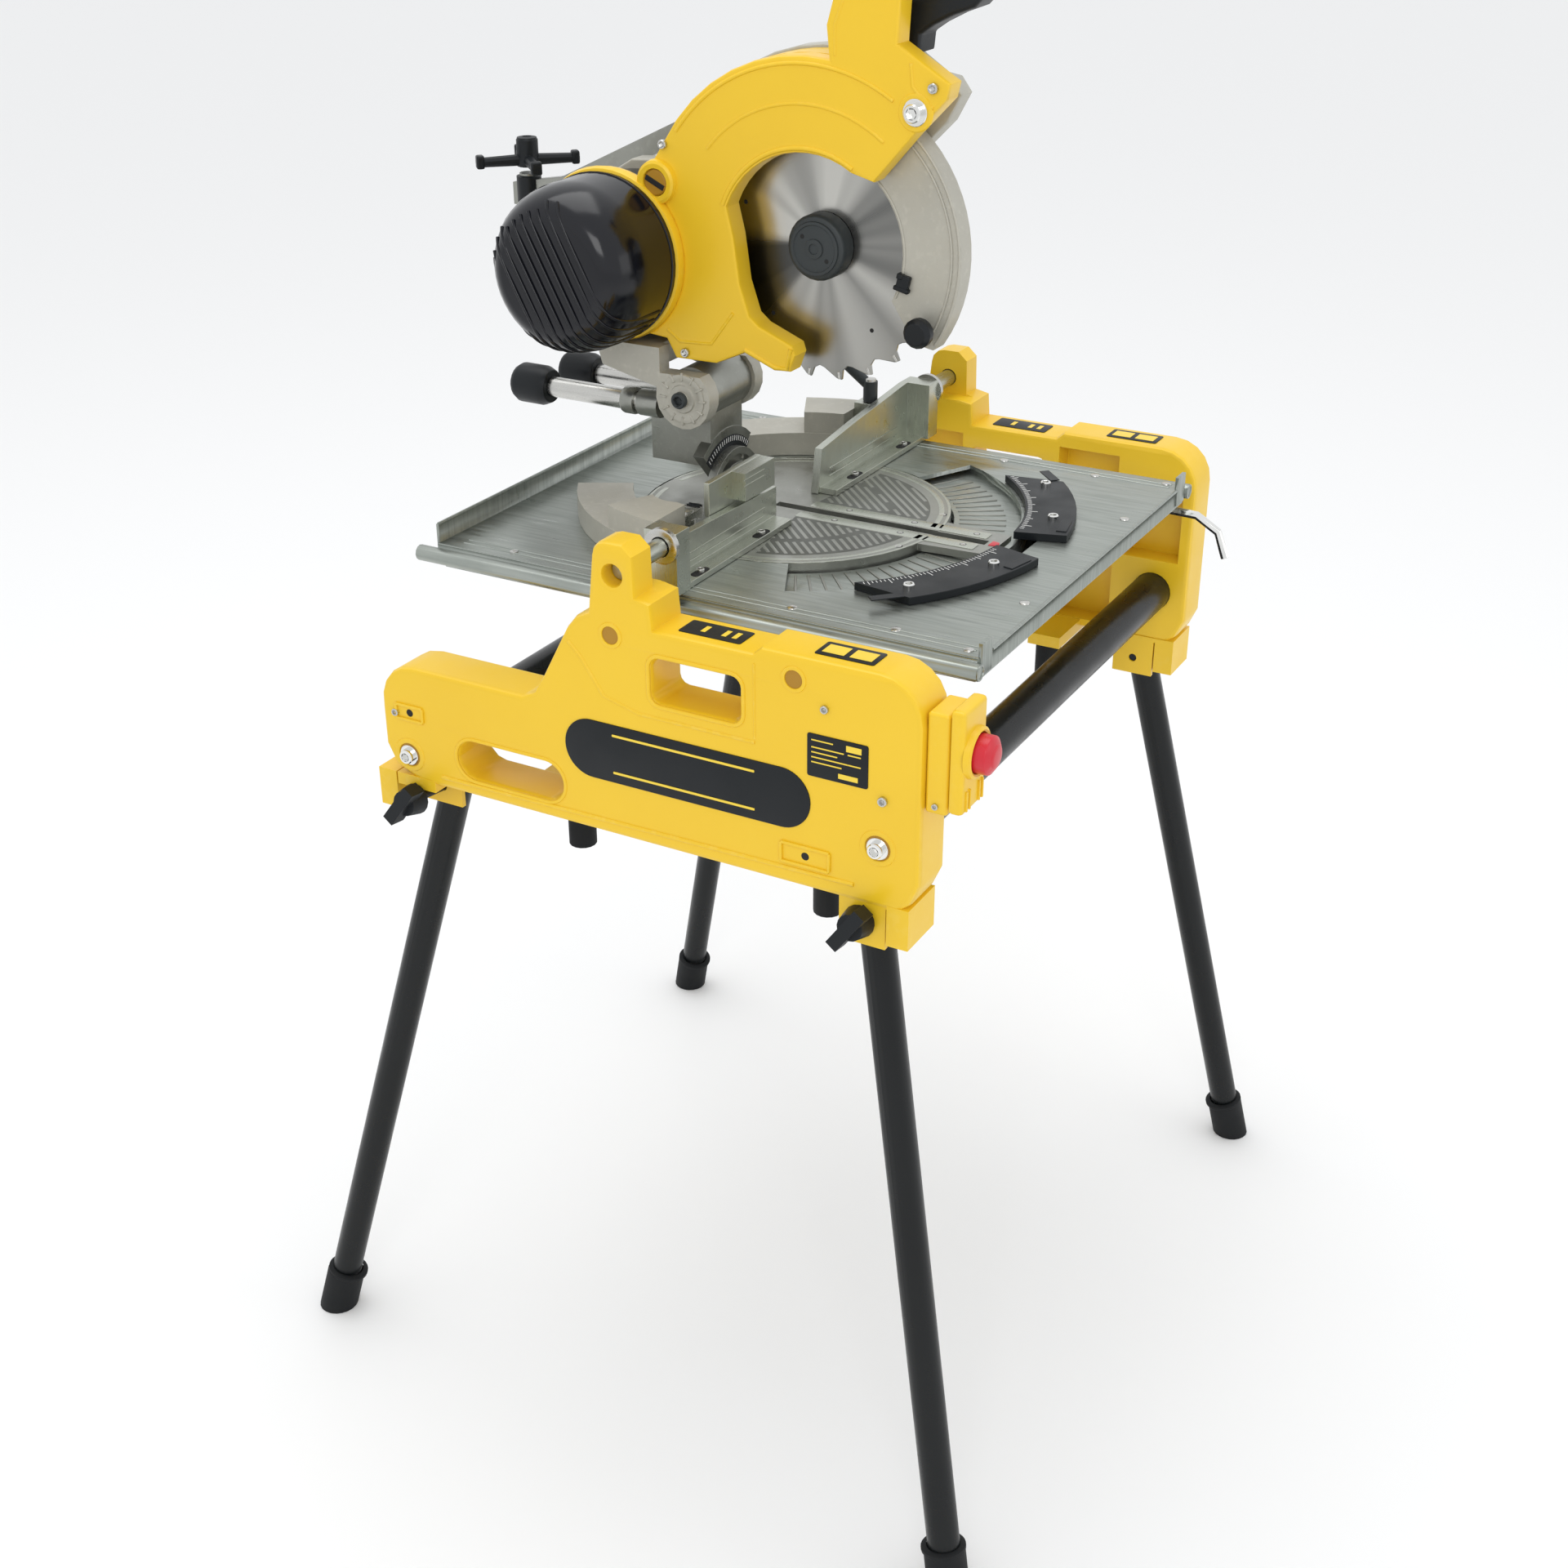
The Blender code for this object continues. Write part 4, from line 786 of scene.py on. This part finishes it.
def fence_details():
    """Ledges, clamp screws and pin collars of the fence, and the caps of its slider, clamp knob and lever."""
    front = SAW_Y + 0.029
    collar = ((0.0095, 0), (0.0165, 0), (0.0165, 0.0050), (0.0145, 0.0062), (0.0095, 0.0062))
    for side, sign in SIDES:
        grooves = [(Matrix.Translation((sign * 0.140, front - 0.0004, z)), (0.150, 0.0010, 0.0016))
                   for z in (0.884, 0.892)]
        blocks(f"fence_ledges_{side}", grooves, MACHINED, "table", 0.0003)
        for number, x in enumerate((0.095, 0.205)):
            cap_screw(f"fence_bolt_{side}_{number}", at(sign * x, 0.0155, 0.8780), Z, 0.0040, STEEL, "table")
            # Each slot is drawn as a flat plate of painted shade.
            slot = pill((sign * x - 0.012, 0.011), (sign * x + 0.012, 0.020), 0.0042, 5)
            plate(f"fence_slot_{side}_{number}", "Z", 0.8781, 0.0006, [slot], PAINTED_SHADE_BLACK, "table", 0.0001)
        pin = at(sign * 0.262, 0.017, 0.922)
        turned(f"flip_pin_collar_{side}", pin, X * sign, collar, STEEL, "table", 26)
    low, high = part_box("fence_slider")
    middle = (low[0] + high[0]) / 2 + 0.008
    lines = [(Matrix.Translation((middle, low[1] - 0.0003, z)), (0.038, 0.0008, 0.0012))
             for z in (high[2] - 0.006, high[2] - 0.012)]
    blocks("slider_face_lines", lines, MACHINED, "slider", 0.0002)
    cap_screw("slider_screw", Vector((low[0] + 0.014, high[1], high[2] - 0.016)), Y, 0.0050, STEEL, "slider")
    knob = centre("mitre_knob")
    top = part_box("mitre_knob")[1][2]
    cap = ((0.0082, -0.0002), (0.0078, 0.0014), (0.0045, 0.0022), (0, 0.0024))
    turned("clamp_knob_cap", Vector((knob.x, knob.y, top)), Z, cap, STEEL, "clamp_knob", 24)
    fins = [(Matrix.Translation((knob.x + shift, knob.y, top + 0.0004)), (0.0016, 0.014, 0.0016))
            for shift in (-0.019, -0.015, 0.015, 0.019)]
    blocks("clamp_knob_fins", fins, BLACK, "clamp_knob", 0.0004)
    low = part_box("fence_lever")[0]
    screw = ((0.0060, -0.002), (0.0058, 0.0010), (0.0030, 0.0016), (0, 0.0016))
    spot = Vector((centre("fence_lever").x, low[1] + 0.0075, 0.9475))
    turned("lever_screw", spot, Z, screw, STEEL, "lever", 20)


# The tilting arm

def tilt_details():
    """The tilt scale, its ticks, the clamp, the rings of the knuckle and the rods' collars."""
    scale = arc((0, TABLE_Z), 0.0595, 47, 133, 16) + arc((0, TABLE_Z), 0.0480, 133, 47, 16)
    plate("tilt_scale", "Y", SAW_Y + 0.1066, 0.0010, [scale], BLACK, "tilt", 0.0002)
    ticks = []
    for degree in range(50, 131, 4):
        angle = math.radians(degree)
        middle = at(0.0560 * math.cos(angle), 0.1058, TABLE_Z + 0.0560 * math.sin(angle))
        ticks.append((faced(middle, -angle, "Y"), (0.0050, 0.0004, 0.0007)))
    blocks("tilt_ticks", ticks, WHITE, "tilt", 0.0001)
    cap_screw("tilt_bolt", at(0, 0.0975, TABLE_Z + 0.0135), -Y, 0.0065, STEEL, "turntable", 0.0095)
    ring = ((0.0120, -0.0020), (0.0120, 0.0001), (0.0150, 0.0001), (0.0165, -0.0012))
    collar = ((0.0101, 0), (0.0128, 0), (0.0135, 0.002), (0.0135, 0.012), (0.0128, 0.014), (0.0101, 0.014))
    for side, sign in SIDES:
        end = at(sign * 0.0342, PIVOT.y - SAW_Y, PIVOT.z)
        turned(f"knuckle_ring_{side}", end, X * sign, ring, CASTING, "tilt", 28)
        rod_low, rod_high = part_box(f"rear_rod_{side}")
        middle = Vector(((rod_low[0] + rod_high[0]) / 2, 0, (rod_low[2] + rod_high[2]) / 2))
        start = Vector((middle.x, rod_low[1] + 0.004, middle.z))
        turned(f"rod_collar_{side}", start, Y, collar, CAST, "tilt", 24)


# The head

def cover_details():
    """Rims, screws, bosses and seams on the yellow cover."""
    face = COVER_X
    out = -X

    def spot(y, z, lift=0.0):
        return at(face - lift, y, z)

    window = arc((0, BLADE.z + 0.001), 0.0905, 122, 22, 24)
    tube("window_rim", [spot(y, z, -0.0008) for y, z in window], 0.0024, YELLOW, "head")
    edge = arc((0, BLADE.z), 0.1625, 122, 36, 26)
    tube("cover_rim_line", [spot(y, z, -0.0006) for y, z in edge], 0.0020, YELLOW, "head")
    step = arc((0, BLADE.z), 0.1290, 127, 40, 22)
    tube("cover_step", [spot(y, z, -0.0012) for y, z in step], 0.0022, YELLOW, "head")
    for name, y, z, radius, washer in (("front", -0.1075, 1.2590, 0.0080, 0.0115),
                                       ("top", -0.1240, 1.2800, 0.0045, None),
                                       ("rear", 0.145, 1.212, 0.0042, None),
                                       ("low", 0.126, 1.0225, 0.0042, None)):
        if washer:
            dish(f"cover_seat_{name}", spot(y, z), out, washer * 1.25, YELLOW, "head")
        metal = CHROME if washer else STEEL
        cap_screw(f"cover_screw_{name}", spot(y, z, 0.0004), out, radius, metal, "head", washer)
    boss = ((0.0205, -0.001), (0.0195, 0.0050), (0.0170, 0.0065), (0.0128, 0.0062), (0.0120, 0.0030))
    turned("brush_boss", spot(0.152, 1.178), out, boss, YELLOW, "head", 32)
    # The brush cap is painted shade in darkened yellow, and its slot is painted shade in near-black.
    cap = ((0.0118, 0), (0.0118, 0.0036), (0.0105, 0.0046), (0, 0.0046))
    turned("brush_cap", spot(0.152, 1.178, 0.001), out, cap, SHADE_PAINTED_YELLOW, "head", 28)
    slot = faced(spot(0.152, 1.178, 0.0058), math.radians(25), "X")
    blocks("brush_slot", [(slot, (0.0012, 0.021, 0.0050))], PAINTED_SHADE_BLACK, "head", 0.0003)
    collar = [(0.0770, -0.010), (0.0800, -0.006), (0.0815, 0.002), (0.0800, 0.008), (0.0772, 0.009)]
    turned("motor_collar", at(face, MOTOR.y - SAW_Y, MOTOR.z), out, collar, YELLOW, "head", 48)
    nozzle = [(0.0135, 1.0400), (0.0175, 1.0210), (0.0300, 1.0205), (0.0620, 1.0330)]
    tube("nozzle_lip", [spot(y, z, -0.0008) for y, z in nozzle], 0.0024, YELLOW, "head")
    flange = [(0.074, 1.066), (0.098, 1.034), (0.132, 1.032), (0.146, 1.042)]
    tube("cover_flange", [spot(y, z, -0.0010) for y, z in flange], 0.0020, YELLOW, "head")
    neck = [(-0.030, 1.300), (-0.030, 1.326), (-0.040, 1.352), (-0.038, 1.396)]
    tube("neck_crease", [spot(y, z, -0.0010) for y, z in neck], 0.0018, YELLOW, "head")
    lug = [(-0.1020, 1.2985), (-0.1040, 1.2800), (-0.1180, 1.2640), (-0.1240, 1.2640)]
    tube("lug_crease", [spot(y, z, -0.0010) for y, z in lug], 0.0020, YELLOW, "head")


def motor_details():
    """Louvres that wrap the motor's rounded end, and the seam round its body."""
    profile = [(0.0775, 0.072), (0.0776, 0.105), (0.0750, 0.127), (0.0715, 0.1375), (0.0665, 0.146),
               (0.060, 0.152), (0.052, 0.1553), (0.030, 0.1556), (0.0, 0.1558)]
    start = 0.0102
    wrapped = 0.72
    lean = math.radians(62)
    run = Vector((0, math.cos(lean), math.sin(lean)))
    across = Vector((0, -math.sin(lean), math.cos(lean)))
    for number in range(11):
        offset = -0.060 + 0.0098 * number
        points = []
        for sign, order in ((-1, profile), (1, profile[::-1])):
            for radius, depth in order:
                if radius > abs(offset) + 0.002:
                    reach = math.sqrt(radius * radius - offset * offset)
                    level = Vector((start - depth - 0.0003, MOTOR.y, MOTOR.z))
                    points.append(level + across * offset + run * (sign * reach))
        keep = points[: max(4, int(len(points) * wrapped))]
        tube(f"motor_louvre_{number}", keep, 0.0017, GLOSS, "head", smooth=True)
    seam = ((0.0770, -0.0016), (0.0784, -0.001), (0.0786, 0.001), (0.0770, 0.0016))
    turned("motor_seam", Vector((start - 0.066, MOTOR.y, MOTOR.z)), -X, seam, GLOSS, "head", 48)


def blade_details():
    """Carbide tips, expansion holes and the arbor cap's rings."""
    teeth = 24
    tips = []
    for k in range(teeth):
        turn = math.radians((k + 0.50) * 360 / teeth)
        place = faced(BLADE + polar(turn, 0.1208, "YZ"), turn, "X")
        tips.append((place, (0.0034, 0.0068, 0.0026)))
    blocks("carbide_tips", tips, STEEL, "blade_set", 0.0003)
    hole = ((0.0022, -0.0001), (0.0020, 0.0002), (0, 0.0002))
    # The blade's holes are discs of painted shade.
    for number in range(5):
        spot = BLADE + polar(math.radians(72 * number + 20), 0.088, "YZ") - X * 0.00125
        turned(f"blade_hole_{number}", spot, -X, hole, PAINTED_SHADE_BLACK, "blade_set", 14)
    end = Vector((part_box("arbor_cap")[0][0], BLADE.y, BLADE.z))
    ring = ((0.0245, -0.0010), (0.0240, 0.0008), (0.0215, 0.0010), (0.0205, -0.0004))
    turned("arbor_ring", end, -X, ring, GREY, "blade_set", 36)
    screw = ((0.0090, -0.0002), (0.0086, 0.0014), (0.0050, 0.0018), (0.0045, 0.0006), (0, 0.0006))
    turned("arbor_screw", end, -X, screw, GREY, "blade_set", 28)
    # The arbor cap's holes are discs of painted shade.
    for number, (dy, dz) in enumerate(((0.0125, 0.010), (-0.0125, -0.010))):
        turned(f"arbor_hole_{number}", end + Vector((0, dy, dz)), -X, hole, PAINTED_SHADE_BLACK, "blade_set", 12)


def guard_details():
    """The lower guard's double rim and its black bumper."""
    for name, radius, lift in (("outer", 0.1405, 0.0003), ("inner", 0.1330, 0.0002)):
        line = arc((0, BLADE.z), radius, 124, 212, 30)
        tube(f"guard_line_{name}", [at(-0.0140 - lift, y, z) for y, z in line], 0.0013, CASTING, "guard")
    inner = arc((0, BLADE.z), 0.0868, 130, 205, 24)
    tube("guard_inner_bead", [at(-0.0138, y, z) for y, z in inner], 0.0014, CASTING, "guard")
    turn = math.radians(194)
    place = faced(at(-0.0155, 0, BLADE.z) + polar(turn, 0.090, "YZ"), turn, "X")
    clip = [(place, (0.0070, 0.012, 0.014)),
            (place @ Matrix.Translation((0, 0, 0.006)), (0.0085, 0.015, 0.004)),
            (place @ Matrix.Translation((0, -0.004, -0.005)), (0.0085, 0.006, 0.005))]
    blocks("guard_bumper", clip, BLACK, "guard", 0.0010)


def head_back_details():
    """The casting's ribs, the belt cover's screws and the height adjuster's cap, tips, sleeve and cuff."""
    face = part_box("belt_cover")[1][0]
    for number, (y, z, radius) in enumerate(((0.0, 1.129, 0.012), (0.207, 1.106, 0.010))):
        boss = ((radius + 0.004, -0.0004), (radius + 0.003, 0.0014), (radius, 0.0016), (0, 0.0008))
        turned(f"belt_boss_{number}", at(face, y, z), X, boss, BLACK, "head", 28)
    for number, (y, z) in enumerate(((0.050, 1.156), (0.150, 1.144), (0.060, 1.098), (0.150, 1.085))):
        cap_screw(f"belt_screw_{number}", at(face, y, z), X, 0.0030, STEEL, "head")
    ribs = []
    casting = 0.0335
    for angle in (48, 66, 84, 102, 120):
        turn = math.radians(angle)
        place = faced(at(casting + 0.0012, 0, BLADE.z) + polar(turn, 0.110, "YZ"), turn, "X")
        ribs.append((place, (0.0050, 0.086, 0.0030)))
    blocks("casting_ribs", ribs, CASTING, "head", 0.0008)
    rim = arc((0, BLADE.z), 0.1680, 24, 96, 26)
    tube("casting_rim", [at(casting - 0.0006, y, z) for y, z in rim], 0.0026, CASTING, "head")
    knuckle = at(-0.0520, PIVOT.y - SAW_Y, PIVOT.z)
    disc = ((0.0240, -0.001), (0.0235, 0.0012), (0.0200, 0.0016), (0.0180, 0.0006), (0.0140, 0.0006),
            (0.0130, 0.0022), (0.0080, 0.0022))
    turned("pivot_disc", knuckle, -X, disc, CASTING, "head", 36)
    ribs = []
    for angle in range(0, 360, 30):
        turn = math.radians(angle)
        place = faced(knuckle - X * 0.0008 + polar(turn, 0.0215, "YZ"), turn, "X")
        ribs.append((place, (0.0022, 0.008, 0.0022)))
    blocks("pivot_ribs", ribs, CASTING, "head", 0.0005)
    cap_screw("pivot_bolt", knuckle - X * 0.0030, -X, 0.0078, GREY, "head")
    knob = centre("adjuster_knob")
    low_z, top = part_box("adjuster_knob")[0][2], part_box("adjuster_knob")[1][2]
    cap = ((0.0104, -0.0002), (0.0098, 0.0020), (0.0050, 0.0028), (0.0040, 0.0016), (0, 0.0016))
    turned("adjuster_cap", Vector((knob.x, knob.y, top)), Z, cap, BLACK, "adjuster", 24)
    tips = []
    for k in range(4):
        turn = math.radians(45 + 90 * k)
        middle = Vector((knob.x, knob.y, low_z + 0.0062)) + polar(turn, 0.048)
        tips.append((faced(middle, turn), (0.008, 0.011, 0.013)))
    blocks("adjuster_tips", tips, BLACK, "adjuster", 0.0018)
    sleeve = [(0.0100, 0), (0.0118, 0.001), (0.0118, 0.040), (0.0100, 0.041)]
    turned("adjuster_sleeve", Vector((knob.x, knob.y, low_z - 0.0900)), Z, sleeve, BLACK, "head", 24)
    cuff = [(0.0096, 0), (0.0125, 0.001), (0.0125, 0.026), (0.0096, 0.027)]
    turned("adjuster_cuff", Vector((knob.x, knob.y, low_z - 0.0355)), Z, cuff, BLACK, "head", 24)


# The set

CAMERA_ROLL = 0.3


def set_light(name, place, aim, size, power, colour=(1, 1, 1)):
    data = bpy.data.lights.new(name, "AREA")
    data.shape = "RECTANGLE"
    data.size, data.size_y = size
    data.energy = power
    data.color = colour
    lamp = new_object(name, data)
    lamp.location = place
    lamp.rotation_euler = (Vector(aim) - Vector(place)).to_track_quat("-Z", "Y").to_euler()


def make_set():
    """The pale floor, the soft lights and the camera at the photograph's angle."""
    mesh = bpy.data.meshes.new("floor")
    shape = bmesh.new()
    bmesh.ops.create_grid(shape, x_segments=1, y_segments=1, size=30)
    shape.to_mesh(mesh)
    shape.free()
    floor = new_object("floor", mesh)
    floor.location.z = -0.0002
    paint = Paint("pale_floor", (0.90, 0.90, 0.90), 0.9)
    paint.bump(paint.noise(40, 2), 0.0002, 0.1)
    mesh.materials.append(paint.made)
    world = bpy.data.worlds.new("studio")
    world.use_nodes = True
    world.node_tree.nodes["Background"].inputs["Color"].default_value = (0.98, 0.99, 1.0, 1)
    world.node_tree.nodes["Background"].inputs["Strength"].default_value = 0.96
    bpy.context.scene.world = world
    bpy.context.scene.view_settings.view_transform = "Standard"
    aim = (0, 0, 0.85)
    set_light("key", (-3.2, -1.6, 3.0), aim, (1.6, 1.6), 26)
    set_light("top", (0.4, 0.6, 3.8), aim, (2.2, 2.2), 30)
    set_light("fill", (0.8, -4.0, 1.6), aim, (2.0, 1.6), 6)
    data = bpy.data.cameras.new("photo_camera")
    data.lens = 47.98
    data.sensor_width = 36
    data.shift_x, data.shift_y = 0.0065, 0.0031
    camera = new_object("photo_camera", data)
    forward = Vector((0.7727, 0.4373, -0.4605)).normalized()
    right = forward.cross(Z).normalized()
    right = Matrix.Rotation(math.radians(CAMERA_ROLL), 3, forward) @ right
    up = right.cross(forward)
    turn = Matrix((right, up, -forward)).transposed().to_4x4()
    camera.matrix_world = Matrix.Translation(at(-1.693, -0.901, 1.565)) @ turn
    bpy.context.scene.camera = camera


dress_nodes()
for side, sign in SIDES:
    housing_details(side, sign)
switch_details()
leg_details()
turntable_details()
table_details()
tilt_details()
cover_details()
motor_details()
blade_details()
guard_details()
head_back_details()
make_set()
